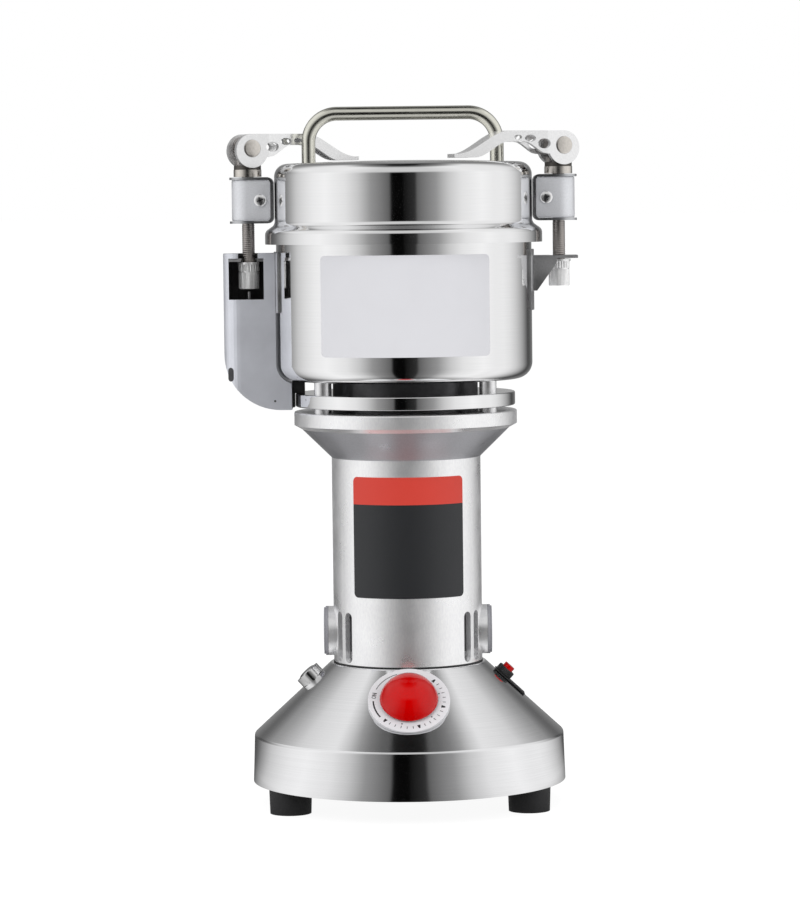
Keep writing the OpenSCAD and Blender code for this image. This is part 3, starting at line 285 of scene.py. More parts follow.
# Dark iron of the bearing housing, also painted shade in the arm's slot and hole
CORE_AND_SHADE = plain_metal("core_iron", (0.10, 0.10, 0.105), 0.5, (700, 700, 700), 0.3)
LAMINATION = plain_metal("lamination_iron", (0.25, 0.25, 0.27), 0.4, (60, 60, 2500), 0.5)
BRASS = plain_metal("brass", (0.78, 0.60, 0.26), 0.25)
COPPER = plain_metal("copper_wire", (0.75, 0.35, 0.16), 0.35, (60, 60, 1800), 0.4)
BLADE = plain_metal("blade_steel", (0.80, 0.80, 0.81), 0.16, (1200, 200, 1200), 0.12)
ARM_PAINT = plastic("arm_paint", (0.71, 0.725, 0.78), 0.42, 0.08)
# Painted shade: near-black for the faces inside the arm's window and notch
ARM_WINDOW_SHADE = plastic("arm_window_painted_shade", (0.035, 0.035, 0.036), 0.6)
RUBBER = plastic("rubber_black", (0.012, 0.012, 0.013), 0.55, 0.3, 900)
BLACK = plastic("plastic_black", (0.018, 0.018, 0.019), 0.4)
WHITE = plastic("plastic_white", (0.58, 0.58, 0.60), 0.35, tones=0.02)
RED = plastic("plastic_red", (0.43, 0.0, 0.0), 0.05, 0.0, 400, tones=0.02)
# Dark print of the dial marks, also used as painted shade in the screws' cross recesses
INK_AND_SHADE = plastic("ink_and_painted_shade", (0.02, 0.02, 0.022), 0.5)
GREY_CASE = plastic("case_grey", (0.10, 0.10, 0.11), 0.5)
LABEL_SILVER = plastic("label_silver", (0.54, 0.54, 0.565), 0.4, 0.05, tones=0.01)
LABEL_RED = plastic("label_red", (0.50, 0.032, 0.018), 0.4, 0.05, tones=0.01)
LABEL_DARK = plastic("label_dark", (0.014, 0.015, 0.017), 0.45, 0.05, tones=0.02)

# How metallic the finishes between bare metal and paint are
METAL_SHARES = {LEVER: 0.8, ARM_PAINT: 0.7, SATIN: 0.84, FLARE_SHADE: 0.84, BLOCK: 0.6, CAP: 0.5, NUT_STEEL: 0.7}
RED_GLOSS = 0.36

for finish, share in METAL_SHARES.items():
    finish.node_tree.nodes["Principled BSDF"].inputs["Metallic"].default_value = share
RED.node_tree.nodes["Principled BSDF"].inputs["Specular IOR Level"].default_value = RED_GLOSS

FINISHES = {
    POLISHED: ["jar", "lid_shell", "lid_liner", "cooling_ring"],
    BRUSHED: ["base_cover"],
    SATIN: ["motor_housing", "top_flange", "standoffs"],
    PLAIN: ["bottom_plate", "timer_shaft", "rotor_shaft", "bearings",
            "interlock_plunger", "lid_nuts", "blade_nut", "nut_left", "nut_right", "base_screws",
            "block_screws"],
    STRAP: ["clamp_straps"],
    SATIN_LIGHT: ["left_bracket", "right_bracket"],
    BLOCK: ["clamp_blocks"],
    LEVER: ["lever_left", "lever_right"],
    CHROME: ["start_switch", "start_button"],
    CAP: ["brush_caps"],
    HANDLE: ["handle"],
    BOLT: ["bolt_left", "bolt_right"],
    ALUMINIUM: ["lower_bracket"],
    CORE_AND_SHADE: ["bearing_housing"],
    LAMINATION: ["stator_core"],
    COPPER: ["field_coils", "armature", "commutator"],
    BRASS: ["brush_holders", "shaft_bush"],
    BLADE: ["lower_blade", "upper_blade"],
    ARM_PAINT: ["arm_housing"],
    RUBBER: ["feet", "cord_gland", "gaskets", "lid_seal"],
    BLACK: ["breaker_body", "breaker_nut", "tag_plate", "interlock_switch", "wire_duct", "cooling_fan",
            "carbon_brushes"],
    WHITE: ["dial_plate"],
    RED: ["timer_knob", "reset_button"],
    GREY_CASE: ["timer_case"],
    PIN: ["collar_left", "collar_right"],
}


def smooth(mesh, angle=SMOOTH_ANGLE):
    for polygon in mesh.polygons:
        polygon.use_smooth = True
    mesh.set_sharp_from_angle(angle=math.radians(angle))


for finish, names in FINISHES.items():
    for name in names:
        data = NODES[name].data
        data.materials.clear()
        data.materials.append(finish)
        smooth(data)


# Shapes
WELD = 1e-6


def arc(x, z, r, start, end, steps=14):
    """Points of an arc in a profile, in millimetres."""
    angles = [math.radians(start + (end - start) * i / steps) for i in range(steps + 1)]
    return [(x + r * math.cos(a), z + r * math.sin(a)) for a in angles]


def piece(name, bm, material, body, replaces=(), angle=SMOOTH_ANGLE):
    """Makes a named piece from a bmesh in millimetres and lets it ride on a body."""
    bmesh.ops.recalc_face_normals(bm, faces=bm.faces)
    bmesh.ops.scale(bm, vec=(MM, MM, MM), verts=bm.verts)
    mesh = bpy.data.meshes.new(name)
    bm.to_mesh(mesh)
    bm.free()
    mesh.materials.append(material)
    smooth(mesh, angle)
    made = bpy.data.objects.new(name, mesh)
    bpy.context.scene.collection.objects.link(made)
    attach(made, body)
    if replaces:
        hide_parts(*replaces)
    return made


def skin(bm, rings, closed=True):
    """Joins rings of points by quads. A closed skin runs back from the last ring to the first."""
    loops = [[bm.verts.new(point) for point in ring] for ring in rings]
    count = len(loops[0])
    pairs = list(zip(loops, loops[1:] + loops[:1])) if closed else list(zip(loops, loops[1:]))
    for a, b in pairs:
        for i in range(count):
            j = (i + 1) % count
            bm.faces.new((a[i], a[j], b[j], b[i]))
    if not closed:
        bm.faces.new(loops[0])
        bm.faces.new(loops[-1])
    return loops


def move(bm, matrix):
    bmesh.ops.transform(bm, matrix=matrix, verts=bm.verts)


def circle(r, z, points):
    """A ring of points round the axis. Its radius may depend on the angle."""
    turns = [2 * math.pi * i / points for i in range(points)]
    radii = [r(a) if callable(r) else r for a in turns]
    return [(radius * math.cos(a), radius * math.sin(a), z) for radius, a in zip(radii, turns)]


def lathe(name, path, material, body, replaces=(), segments=192, closed=True, at=None,
          angle=SMOOTH_ANGLE):
    """Turns a profile of (radius, height) points round the axis, or round the axis of a placement."""
    bm = bmesh.new()
    skin(bm, [circle(r, z, segments) for r, z in path], closed)
    bmesh.ops.remove_doubles(bm, verts=bm.verts, dist=WELD)
    if at:
        move(bm, at)
    return piece(name, bm, material, body, replaces, angle)


def cone_z(r):
    return SHOULDER_HIGH + (BAND_R - r) * CONE_RISE / CONE_RUN


def on_cone(angle, r):
    """Placement on the base cone: +Z along its outward normal and +X downhill."""
    return (Matrix.Rotation(math.radians(angle), 4, "Z") @ Matrix.Translation((r, 0, cone_z(r)))
            @ Matrix.Rotation(math.radians(CONE_TILT), 4, "Y"))


def fluted(name, levels, material, body, replaces=(), bore=0.0, points=180, at=None):
    """A turned body with grooves along it. Each level is (height, radius, groove depth, groove count)."""
    def grooved(radius, depth, count):
        return lambda a: radius - depth * (0.5 - 0.5 * math.cos(count * a))

    bm = bmesh.new()
    rings = [circle(grooved(radius, depth, count), height, points)
             for height, radius, depth, count in levels]
    rings += [circle(bore, height, points) for height in (levels[-1][0], levels[0][0])]
    skin(bm, rings)
    if at:
        move(bm, at)
    return piece(name, bm, material, body, replaces)


def sticker(name, radius, middle, half, low, high, material, body, corners=(0, 0), centre=(0, 0),
            lift=0.12, columns=48):
    """A thin curved patch on a cylinder about centre.

    It reaches half degrees to both sides of its middle. Corners are the radii of its lower and upper ones.
    """
    bm = bmesh.new()
    span = radius * math.radians(half)
    rows = []
    for i in range(columns + 1):
        s = span * math.sin(math.pi * (i / columns - 0.5))
        edge = span - abs(s)
        cuts = [c - math.sqrt(max(0, c * c - (c - edge) ** 2)) if edge < c else 0 for c in corners]
        a = math.radians(middle) + s / radius
        rows.append([(centre[0] + r * math.cos(a), centre[1] + r * math.sin(a), z)
                     for r, z in ((radius, low + cuts[0]), (radius + lift, low + cuts[0]),
                                  (radius + lift, high - cuts[1]), (radius, high - cuts[1]))])
    loops = [[bm.verts.new(point) for point in row] for row in rows]
    for a, b in zip(loops, loops[1:]):
        for i in range(4):
            j = (i + 1) % 4
            bm.faces.new((a[i], a[j], b[j], b[i]))
    bm.faces.new(loops[0])
    bm.faces.new(loops[-1])
    return piece(name, bm, material, body)


# Fine pieces over the frame's nodes
def lid_path(t, steps=30):
    """Profile of the lid's skirt, ogee, corner and dome, drawn in by t."""
    side = OGEE_ROUND * (1 - math.cos(math.radians(OGEE_SLOPE)))
    ogee_high = (SKIRT_HIGH + 2 * OGEE_ROUND * math.sin(math.radians(OGEE_SLOPE))
                 + (SKIRT_R - LID_R - 2 * side) / math.tan(math.radians(OGEE_SLOPE)))
    dome_r = LID_R - LID_CORNER
    shares = [1 - i / steps for i in range(1, steps + 1)]
    dome = [(dome_r * share, LID_TOP + DOME_RISE * (1 - share ** 2) - t) for share in shares]
    return ([(SKIRT_R - t, SKIRT_LOW)]
            + arc(SKIRT_R - OGEE_ROUND, SKIRT_HIGH, OGEE_ROUND - t, 0, OGEE_SLOPE)
            + arc(LID_R + OGEE_ROUND, ogee_high, OGEE_ROUND + t, 180 + OGEE_SLOPE, 180)
            + arc(dome_r, LID_TOP - LID_CORNER, LID_CORNER - t, 0, 90, 20) + dome)


def make_jar():
    """The spun jar with its bore for the shaft and its turned-out rim."""
    corner = (JAR_R - JAR_CORNER, JAR_Z + JAR_CORNER)
    path = ([(JAR_BORE, JAR_Z + JAR_WALL), (JAR_BORE, JAR_Z)] + arc(*corner, JAR_CORNER, -90, 0, 20)
            + [(JAR_R, RIM_Z - JAR_WALL), (RIM_R - 0.4, RIM_Z - JAR_WALL)]
            + arc(RIM_R - JAR_WALL / 2, RIM_Z - JAR_WALL / 2, JAR_WALL / 2, -60, 80, 8)
            + [(JAR_R - JAR_WALL, RIM_Z)] + arc(*corner, JAR_CORNER - JAR_WALL, 0, -90, 20))
    lathe("jar_turned", path, POLISHED, "base", ["jar"])


def make_lid():
    """The spun lid's shell, as an outer profile and the same one drawn in by its wall."""
    path = lid_path(0) + lid_path(LID_WALL)[::-1]
    lathe("lid_turned", path, POLISHED, "lid", ["lid_shell"])


# Blocks of the clamps: play in the strap, and how far their edges are rounded in
BLOCK_GAP = 0.1
BLOCK_EDGE = 0.35


def block_plan(x, r):
    """Outline of a block from its inner side at x, round the bolt's axis and back."""
    turns = [math.radians(b) for b in range(0, 181, 6)]
    round_end = [(CLAMP_X + r * math.sin(b), -r * math.cos(b)) for b in turns]
    return [(x, -r), (CLAMP_X - 0.5 * r, -r)] + round_end + [(CLAMP_X - 0.5 * r, r), (x, r)]


def make_blocks(steps=8):
    """Both clamp blocks: they fill the straps up to their rounded inner corners."""
    inner = STRAP_IN + STRAP_WALL + BLOCK_GAP
    low = STRAP_LOW + STRAP_WALL + BLOCK_GAP
    high = STRAP_HIGH - STRAP_WALL - BLOCK_GAP
    round_r = STRAP_ROUND - STRAP_WALL
    bore_r = BOLT_R + BLOCK_GAP
    angles = [math.radians(90 * i / steps) for i in range(steps + 1)]
    levels = [(low + round_r * (1 - math.cos(a)), inner + round_r * (1 - math.sin(a)), a) for a in angles]
    levels += [(low + high - z, x, a) for z, x, a in levels[::-1]]
    bm = bmesh.new()
    for turn in (1, -1):
        rings = []
        for z, x, a in levels:
            plan = block_plan(x, BLOCK_R - BLOCK_EDGE * (1 - math.sin(a)))
            rings.append([(turn * px, turn * py, z) for px, py in plan])
        bearings = [math.atan2(turn * y, turn * x - CLAMP_X) for x, y, _ in rings[0]]
        bore = [(turn * (CLAMP_X + bore_r * math.cos(a)), turn * bore_r * math.sin(a)) for a in bearings]
        rings += [[(x, y, z) for x, y in bore] for z in (high, low)]
        skin(bm, rings)
    piece("blocks_rounded", bm, BLOCK, "lid", ["clamp_blocks"])


# Screws of the blocks
SHANK_R = 1.48
SHANK_DEEP = 4.9
HEAD_R = 3.3
HEAD_EDGE = 0.25
HEAD_RISE = 1.6
CROSS_WIDE = 0.75
CROSS_THICK = 0.72
CROSS_HIGH = 1.25
CROSS_TURN = 20


def screw_head(a):
    """Point of a flattened dome at a degrees above the head's edge."""
    a = math.radians(a)
    return HEAD_R * math.cos(a) ** 0.8, HEAD_EDGE + (HEAD_RISE - HEAD_EDGE) * math.sin(a)


def make_screws():
    """Screws with domed heads in the fronts of the blocks, and dark cross bars in the heads that are painted
    as the shade in their cross recesses.
    """
    middle = (STRAP_LOW + STRAP_HIGH) / 2
    path = [(0, -SHANK_DEEP), (SHANK_R, -SHANK_DEEP), (SHANK_R, 0.02), (HEAD_R - 0.15, 0.02)]
    path += [(HEAD_R, HEAD_EDGE)] + [screw_head(a) for a in range(8, 90, 8)] + [(0, HEAD_RISE)]
    for side, name in SIDES:
        at = Matrix.Translation((side * SCREW_X, -BLOCK_R, middle)) @ Matrix.Rotation(math.pi / 2, 4, "X")
        lathe("screw_" + name, path, BRIGHT, "lid", segments=72, at=at,
              replaces=["block_screws"] if side > 0 else ())
        bm = bmesh.new()
        # Each bar is painted shade for one arm of the cross recess
        for turn in (CROSS_TURN, CROSS_TURN + 90):
            bar = (Matrix.Rotation(math.radians(turn), 4, "Z") @ Matrix.Translation((0, 0, CROSS_HIGH))
                   @ Matrix.Diagonal((HEAD_R, CROSS_WIDE, CROSS_THICK, 1)))
            bmesh.ops.create_cube(bm, size=1, matrix=bar)
        move(bm, at)
        piece("screw_cross_shade_" + name, bm, INK_AND_SHADE, "lid")


# Nuts of the clamps: fine grooves on the lower barrel, coarse ones on the grip, and a collar at the top
FINE_GROOVES = 48
COARSE_GROOVES = 24
FINE_DEEP = 0.12
COARSE_DEEP = 0.3
BARREL_HIGH = 8.4
GRIP_FROM = 9
COLLAR_THICK = 1.2


def make_nut(side, name):
    """The knurled nut of a clamp, with a collar at the top."""
    low = NUT_LOW.z / MM
    high = NUT_HIGH.z / MM
    barrel = NUT_R - 0.1
    neck = NUT_R - 0.3
    levels = [(low, NUT_R - 0.35, 0, FINE_GROOVES),
              (low + 0.35, barrel, FINE_DEEP, FINE_GROOVES),
              (low + BARREL_HIGH, barrel, FINE_DEEP, FINE_GROOVES),
              (low + BARREL_HIGH + 0.1, neck, 0, FINE_GROOVES),
              (low + GRIP_FROM - 0.1, neck, 0, COARSE_GROOVES),
              (low + GRIP_FROM, NUT_R, COARSE_DEEP, COARSE_GROOVES),
              (high - COLLAR_THICK - 0.1, NUT_R, COARSE_DEEP, COARSE_GROOVES),
              (high - COLLAR_THICK, NUT_R + 0.45, 0, COARSE_GROOVES),
              (high - 0.1, NUT_R + 0.5, 0, COARSE_GROOVES),
              (high, NUT_R + 0.35, 0, COARSE_GROOVES)]
    fluted("nut_knurled_" + name, levels, NUT_STEEL, "clamp_nut_" + name, ["nut_" + name],
           bore=BOLT_R + 0.05, points=240, at=Matrix.Translation((side * CLAMP_X, 0, 0)))


def make_thread(side, name, pitch=1, depth=0.2, points=36, steps_per_turn=10):
    """A helical ridge round a bolt's shank, from its nut to its strap."""
    low = NUT_HIGH.z / MM + 0.35
    high = STRAP_LOW - 0.5
    steps = int((high - low) / pitch * steps_per_turn)

    def ridge(z):
        fade = min(1, (z - low) / 0.3, (high - z) / 0.3)
        return lambda a: BOLT_R + 0.02 + fade * depth * (0.5 + 0.5 * math.cos(2 * math.pi * z / pitch - a))

    heights = [low + (high - low) * i / steps for i in range(steps + 1)]
    rings = [circle(ridge(z), z, points) for z in heights]
    rings += [circle(BOLT_R - 0.3, z, points) for z in (high, low)]
    bm = bmesh.new()
    skin(bm, rings)
    move(bm, Matrix.Translation((side * CLAMP_X, 0, 0)))
    piece("thread_" + name, bm, BOLT, "clamp_bolt_" + name, angle=THREAD_ANGLE)


def make_knob(steps=24):
    """The timer's knob: a short conical side and a face that is a cap of a ball."""
    side = 0.22 * KNOB_HIGH
    crown = 0.95 * KNOB_R
    rise = KNOB_HIGH - side
    ball = (crown ** 2 + rise ** 2) / (2 * rise)
    path = [(0, KNOB_FOOT), (KNOB_R - 0.3, KNOB_FOOT), (KNOB_R, KNOB_FOOT + 0.3),
            (crown + 0.1, KNOB_FOOT + side - 0.2)]
    radii = [crown * i / steps for i in range(steps, -1, -1)]
    path += [(r, KNOB_FOOT + side + rise - ball + math.sqrt(ball ** 2 - r ** 2)) for r in radii]
    lathe("knob_domed", path, RED, "dial", ["timer_knob"], segments=144,
          at=on_cone(FRONT, DIAL_RING), angle=KNOB_ANGLE)


# Nut of the breaker
BREAKER_GROOVES = 30
BREAKER_DEEP = 0.4
BREAKER_THICK = 3.3


def make_breaker_nut():
    """The grooved nut round the reset button."""
    low = BREAKER_FOOT
    high = BREAKER_FOOT + BREAKER_THICK
    levels = [(low, BREAKER_R - 0.3, 0, BREAKER_GROOVES),
              (low + 0.3, BREAKER_R, BREAKER_DEEP, BREAKER_GROOVES),
              (high - 0.4, BREAKER_R, BREAKER_DEEP, BREAKER_GROOVES),
              (high, BREAKER_R - 0.35, 0, BREAKER_GROOVES)]
    fluted("breaker_nut_knurled", levels, BLACK, "base", ["breaker_nut"],
           bore=BREAKER_R - 0.7, at=on_cone(0, RESET_RING))


# Dial marks: heights and widths in millimetres, places as shares of the dial's radius or as degrees
MARK_HIGH = 0.06
FIRST_TICK = -43
TICK_STEP = 9.88
TICK_COUNT = 19
TICK_RING = 0.86 * DIAL_R
DOT_RING = 0.76 * DIAL_R
ARC_RING = 0.87 * DIAL_R
BOLD_TICKS = (0, 6, 12, 18)
HALF_DOTS = (3, 9, 15)
BOLD_ARC = (-88.8, -53.4)
FINE_ARC = (-161, -114)
ON_ANGLE = -99.8
# Of a tick or dot: half width at its outer and at its inner end, and length
BOLD_TICK = (0.35, 0.85, 2.0)
FINE_TICK = (0.16, 0.16, 1.5)
DOT = (0.32, 0.32, 0.7)
BOLD_HALF = 0.37
FINE_HALF = 0.17
# Of a letter, as shares of its width: middle of the O, and left and right stroke of the N
O_MIDDLE = -0.62
N_LEFT = 0.18
N_RIGHT = 1.1


def prism(bm, outline, high=MARK_HIGH):
    """A flat piece with a straight wall over an outline of (x, y)."""
    skin(bm, [[(x, y, z) for x, y in outline] for z in (0, high)], closed=False)


def band(bm, r, half, start, end):
    """A flat ring sector of middle radius r and half width half, with a corner every 4 degrees."""
    steps = max(2, int(abs(end - start) / 4))
    angles = [math.radians(start + (end - start) * i / steps) for i in range(steps + 1)]
    outline = [((r - half) * math.cos(a), (r - half) * math.sin(a)) for a in angles]
    outline += [((r + half) * math.cos(a), (r + half) * math.sin(a)) for a in angles[::-1]]
    prism(bm, outline)


def tick(bm, angle, r, outer_half, inner_half, long):
    """A mark along the radius, with its own half width at each end."""
    a = math.radians(angle)
    out = Vector((math.cos(a), math.sin(a)))
    side = Vector((-math.sin(a), math.cos(a)))
    near = out * (r - long / 2)
    far = out * (r + long / 2)
    prism(bm, [near - side * inner_half, far - side * outer_half, far + side * outer_half,
               near + side * inner_half])


def make_dial_marks():
    """Ticks, dots, two arcs and the word ON, raised a little from the dial."""
    bm = bmesh.new()
    for i in range(TICK_COUNT):
        angle = FIRST_TICK + TICK_STEP * i
        if i in BOLD_TICKS:
            tick(bm, angle, TICK_RING, *BOLD_TICK)
        else:
            tick(bm, angle, TICK_RING, *FINE_TICK)
        if i in HALF_DOTS:
            tick(bm, angle, DOT_RING, *DOT)
    band(bm, ARC_RING, BOLD_HALF, *BOLD_ARC)
    band(bm, ARC_RING, FINE_HALF, *FINE_ARC)
    make_on(bm)
    move(bm, on_cone(FRONT, DIAL_RING) @ Matrix.Translation((0, 0, DIAL_WALL)))
    piece("dial_marks", bm, INK_AND_SHADE, "base")


def make_on(bm, high=2.2, half=0.2):
    """The word ON beside the fine arc. Half is half the width of a stroke."""
    letters = bmesh.new()
    wide = 0.7 * high
    turns = [2 * math.pi * i / 20 for i in range(20)]

    def oval(share, z):
        across, up = share * wide / 2, share * high / 2
        return [(across * math.cos(a) + O_MIDDLE * wide, up * math.sin(a), z) for a in turns]

    inner = 1 - 2.2 * half / wide
    skin(letters, [oval(1, 0), oval(1, MARK_HIGH), oval(inner, MARK_HIGH), oval(inner, 0)])
    left = N_LEFT * wide
    right = N_RIGHT * wide
    foot = -high / 2
    head = high / 2
    for x in (left, right):
        prism(letters, [(x - half, foot), (x + half, foot), (x + half, head), (x - half, head)])
    slant = [(left - half, head), (right - half, foot), (right + half, foot), (left + half, head)]
    prism(letters, slant, MARK_HIGH * 1.1)
    move(letters, Matrix.Rotation(math.radians(ON_ANGLE), 4, "Z") @ Matrix.Translation((TICK_RING, 0, 0))
         @ Matrix.Rotation(math.radians(-90), 4, "Z"))
    mesh = bpy.data.meshes.new("letters")
    letters.to_mesh(mesh)
    letters.free()
    bm.from_mesh(mesh)
    bpy.data.meshes.remove(mesh)


# Labels, painted shade in small recesses and behind the vent slots, and second finishes, some of them
# painted shade
LABEL_CORNER = 2.5
JAR_LABEL_MIDDLE = FRONT + 0.4
COLUMN_LABEL_MIDDLE = FRONT + 1.5
JAR_LABEL_LOW = 230.4
JAR_LABEL_HIGH = 280.8
JAR_LABEL_HALF = 40.1
COLUMN_LABEL_LOW = 108.1
COLUMN_LABEL_SEAM = 155.3
COLUMN_LABEL_HIGH = 169.2
COLUMN_LABEL_HALF = 46.3
SLOT_ANGLE = -126.9
SLOT_HALF = 12
SLOT_LOW = 217.1
SLOT_HIGH = 224.1
SLOT_ROUND = 1.7
HOLE_R = 0.55
HOLE_X = -66.1
HOLE_HIGH = 207
HOLE_DEEP = 0.5
HOLE_PROUD = 0.04
# Sizes of the grey sheets painted as shade behind the vent slots
VENT_SHADE_R = 34.5
VENT_SHADE_LOW = 74.5
VENT_SHADE_HIGH = 99.5
VENT_SHADE_TURN = 59
VENT_SHADE_HALF = 12
VENT_SHADE_THICK = 0.3


def make_labels():
    """Bare stickers in the places of the maker's ones."""
    sticker("jar_label", JAR_R, JAR_LABEL_MIDDLE, JAR_LABEL_HALF, JAR_LABEL_LOW, JAR_LABEL_HIGH,
            LABEL_SILVER, "base", (LABEL_CORNER, LABEL_CORNER))
    sticker("column_label_dark", COLUMN_R, COLUMN_LABEL_MIDDLE, COLUMN_LABEL_HALF, COLUMN_LABEL_LOW,
            COLUMN_LABEL_SEAM, LABEL_DARK, "base", (LABEL_CORNER, 0))
    sticker("column_label_red", COLUMN_R, COLUMN_LABEL_MIDDLE, COLUMN_LABEL_HALF, COLUMN_LABEL_SEAM,
            COLUMN_LABEL_HIGH, LABEL_RED, "base", (0, LABEL_CORNER))


def make_arm_details():
    """Dark patches painted as the shade in the slot on the arm's rounded front corner and in the small hole
    in its front.
    """
    nose = (ARM_NOSE - ARM_X, ARM_NOSE - ARM_Y)
    sticker("arm_slot_shade", ARM_NOSE, SLOT_ANGLE, SLOT_HALF, SLOT_LOW, SLOT_HIGH, CORE_AND_SHADE, "base",
            (SLOT_ROUND, SLOT_ROUND), nose, lift=0.03)
    path = [(0, -HOLE_DEEP), (HOLE_R, -HOLE_DEEP), (HOLE_R, HOLE_PROUD), (0, HOLE_PROUD)]
    at = Matrix.Translation((HOLE_X, -ARM_Y, HOLE_HIGH)) @ Matrix.Rotation(math.pi / 2, 4, "X")
    lathe("arm_hole_shade", path, CORE_AND_SHADE, "base", segments=32, at=at)


# For the choice of faces: play of a height, depth of the arm's outer skin, and a normal that looks down
TOUCH = 0.05
SKIN_DEEP = 0.3
LOOKS_DOWN = -0.3


def refinish(name, finish, chosen):
    """Gives a finish of their own to the faces of a node that a test of centre and normal chooses."""
    data = NODES[name].data
    data.materials.append(finish)
    for polygon in data.polygons:
        if chosen(polygon.center / MM, polygon.normal):
            polygon.material_index = 1


def above_collar(spot, normal):
    """Whether a face belongs to the saddle above the collar's steel ring."""
    return spot.z > COLLAR_TOP + TOUCH


def shaded_under_flare(spot, normal):
    """Whether a face of the flare looks down, so that it takes the darker satin painted as shade under the
    flare.
    """
    return FLARE_LOW < spot.z < FLARE_HIGH and spot.xy.length > COLUMN_R and normal.z < LOOKS_DOWN


def shaded_in_window(spot, normal):
    """Whether a face lies behind the arm's outer skin, in its window or notch, where near-black paint stands
    for the shade inside the arm.
    """
    round_x = max(-spot.x - (ARM_X - ARM_NOSE), 0)
    round_y = max(abs(spot.y) - (ARM_Y - ARM_NOSE), 0)
    behind = math.hypot(round_x, round_y) < ARM_NOSE - SKIN_DEEP
    above = WINDOW_LOW - 2 * TOUCH < spot.z < ARM_HIGH - 4 * TOUCH
    return behind and above and -spot.x > WINDOW_IN - 2 * TOUCH


def make_vent_shades():
    """Grey sheets behind the vent slots of the column, painted as the shade inside it."""
    for middle, side in ((FRONT, "front"), (-FRONT, "back")):
        for turn, letter in ((-VENT_SHADE_TURN, "a"), (VENT_SHADE_TURN, "b")):
            name = "dust_screen_%s_%s" % (side, letter)
            sticker(name, VENT_SHADE_R, middle + turn, VENT_SHADE_HALF, VENT_SHADE_LOW, VENT_SHADE_HIGH, VENT_SHADE, "base",
                    lift=VENT_SHADE_THICK)


def make_pin_ends():
    """Domed ends on the lever pins. Each step of a dome goes in by the same and rises by a little less."""
    path = [(0, -0.2), (PIN_R - 0.05, -0.2), (PIN_R - 0.05, 0.02)]
    path += [(PIN_R - 0.25 - 0.45 * i, 0.18 + 0.06 * i - 0.003 * i * i) for i in range(9)]
    path += [(0, 0.46)]
    for turn, name in ((180, "left"), (0, "right")):
        pin = (Matrix.Rotation(math.radians(turn), 4, "Z") @ Matrix.Translation((CLAMP_X, 0, PIN_HIGH))
               @ Matrix.Rotation(math.radians(LEVER_YAW), 4, "Z"))
        for flip, end in ((-90, "back"), (90, "front")):
            at = pin @ Matrix.Rotation(math.radians(flip), 4, "X") @ Matrix.Translation((0, 0, PIN_HALF))
            lathe("pin_end_%s_%s" % (name, end), path, PIN, "clamp_bolt_" + name, segments=64, at=at)


make_jar()
make_lid()
make_blocks()
make_screws()
for side, name in SIDES:
    make_nut(side, name)
    make_thread(side, name)
make_knob()
make_breaker_nut()
make_dial_marks()
make_labels()
make_arm_details()
make_vent_shades()
make_pin_ends()
refinish("collar_left", SADDLE, above_collar)
refinish("collar_right", SADDLE, above_collar)
# Painted shade: the downward faces of the flare take the darker satin
refinish("motor_housing", FLARE_SHADE, shaded_under_flare)
# Painted shade inside the arm's window and notch
refinish("arm_housing", ARM_WINDOW_SHADE, shaded_in_window)


# Brightness that metal sees round the mill, by degrees from the camera's side
FRONT_STOPS = [(12.3, 0.12), (29, 0.30), (41, 0.60), (53, 0.80), (74, 0.93), (88, 0.86)]
LEFT_STOPS = [(0, 0.002), (10.5, 0.002)] + FRONT_STOPS + [
    (96, 0.78), (103, 0.70), (111, 0.59), (121, 0.37), (127, 0.26), (133, 0.16), (140, 0.10), (148, 0.08),
    (153, 0.09), (172, 0.25), (180, 0.40)]
RIGHT_STOPS = [(0, 0.006), (10.5, 0.028)] + FRONT_STOPS + [
    (100, 0.86), (109, 0.78), (119, 0.62), (131, 0.38), (140, 0.18), (146, 0.07), (153, 0.09), (172, 0.25),
    (180, 0.40)]
# The same by degrees above the horizon
CEILING_STOPS = [(0, 1.0), (61, 1.0), (65.4, 0.74), (70, 0.39), (74, 0.24), (78.6, 0.14), (81.5, 0.12),
                 (82.8, 0.01), (90, 0.01)]
# Brightness round the mill higher up, and the degrees of elevation between which it takes over
UPPER_STOPS = [(0, 0.6), (25, 0.62), (60, 0.86), (110, 0.82), (120, 0.75), (127, 0.67), (131, 0.55),
               (137, 0.42), (142, 0.33), (147, 0.27), (160, 0.2), (180, 0.3)]
UPPER_FROM = 14
UPPER_TO = 26
WORLD_LEVEL = 0.75
# Metal sees the floor's glow dimmed near the feet as painted shade: two distances from the axis in metres,
# and the level at the nearer
NEAR_FLOOR = 0.09
FAR_FLOOR = 0.17
NEAR_LEVEL = 0.35
FLOOR_SIZE = 300
FLOOR_COLOR = (0.85, 0.85, 0.85, 1)
# How bright the floor glows, and its share of glow for the camera and for light that comes through glass
FLOOR_GLOW = 1.08
CAMERA_SHARE = 0.86
GLASS_SHARE = 0.6
# Name, place, size and power of each lamp, and where they all point
LAMPS = [("key", (-1.1, -1.5, 1.5), 1.3, 22),
         ("fill", (1.4, -1.2, 0.9), 1.3, 12),
         ("top", (0, 0.3, 2.0), 1.4, 14)]
LAMP_TARGET = Vector((0, 0, 0.18))
CAMERA_PLACE = (-0.0031, -1.887, 0.303)
CAMERA_LENS = 145.9
CAMERA_PITCH = -3.81
CAMERA_ROLL = -0.65


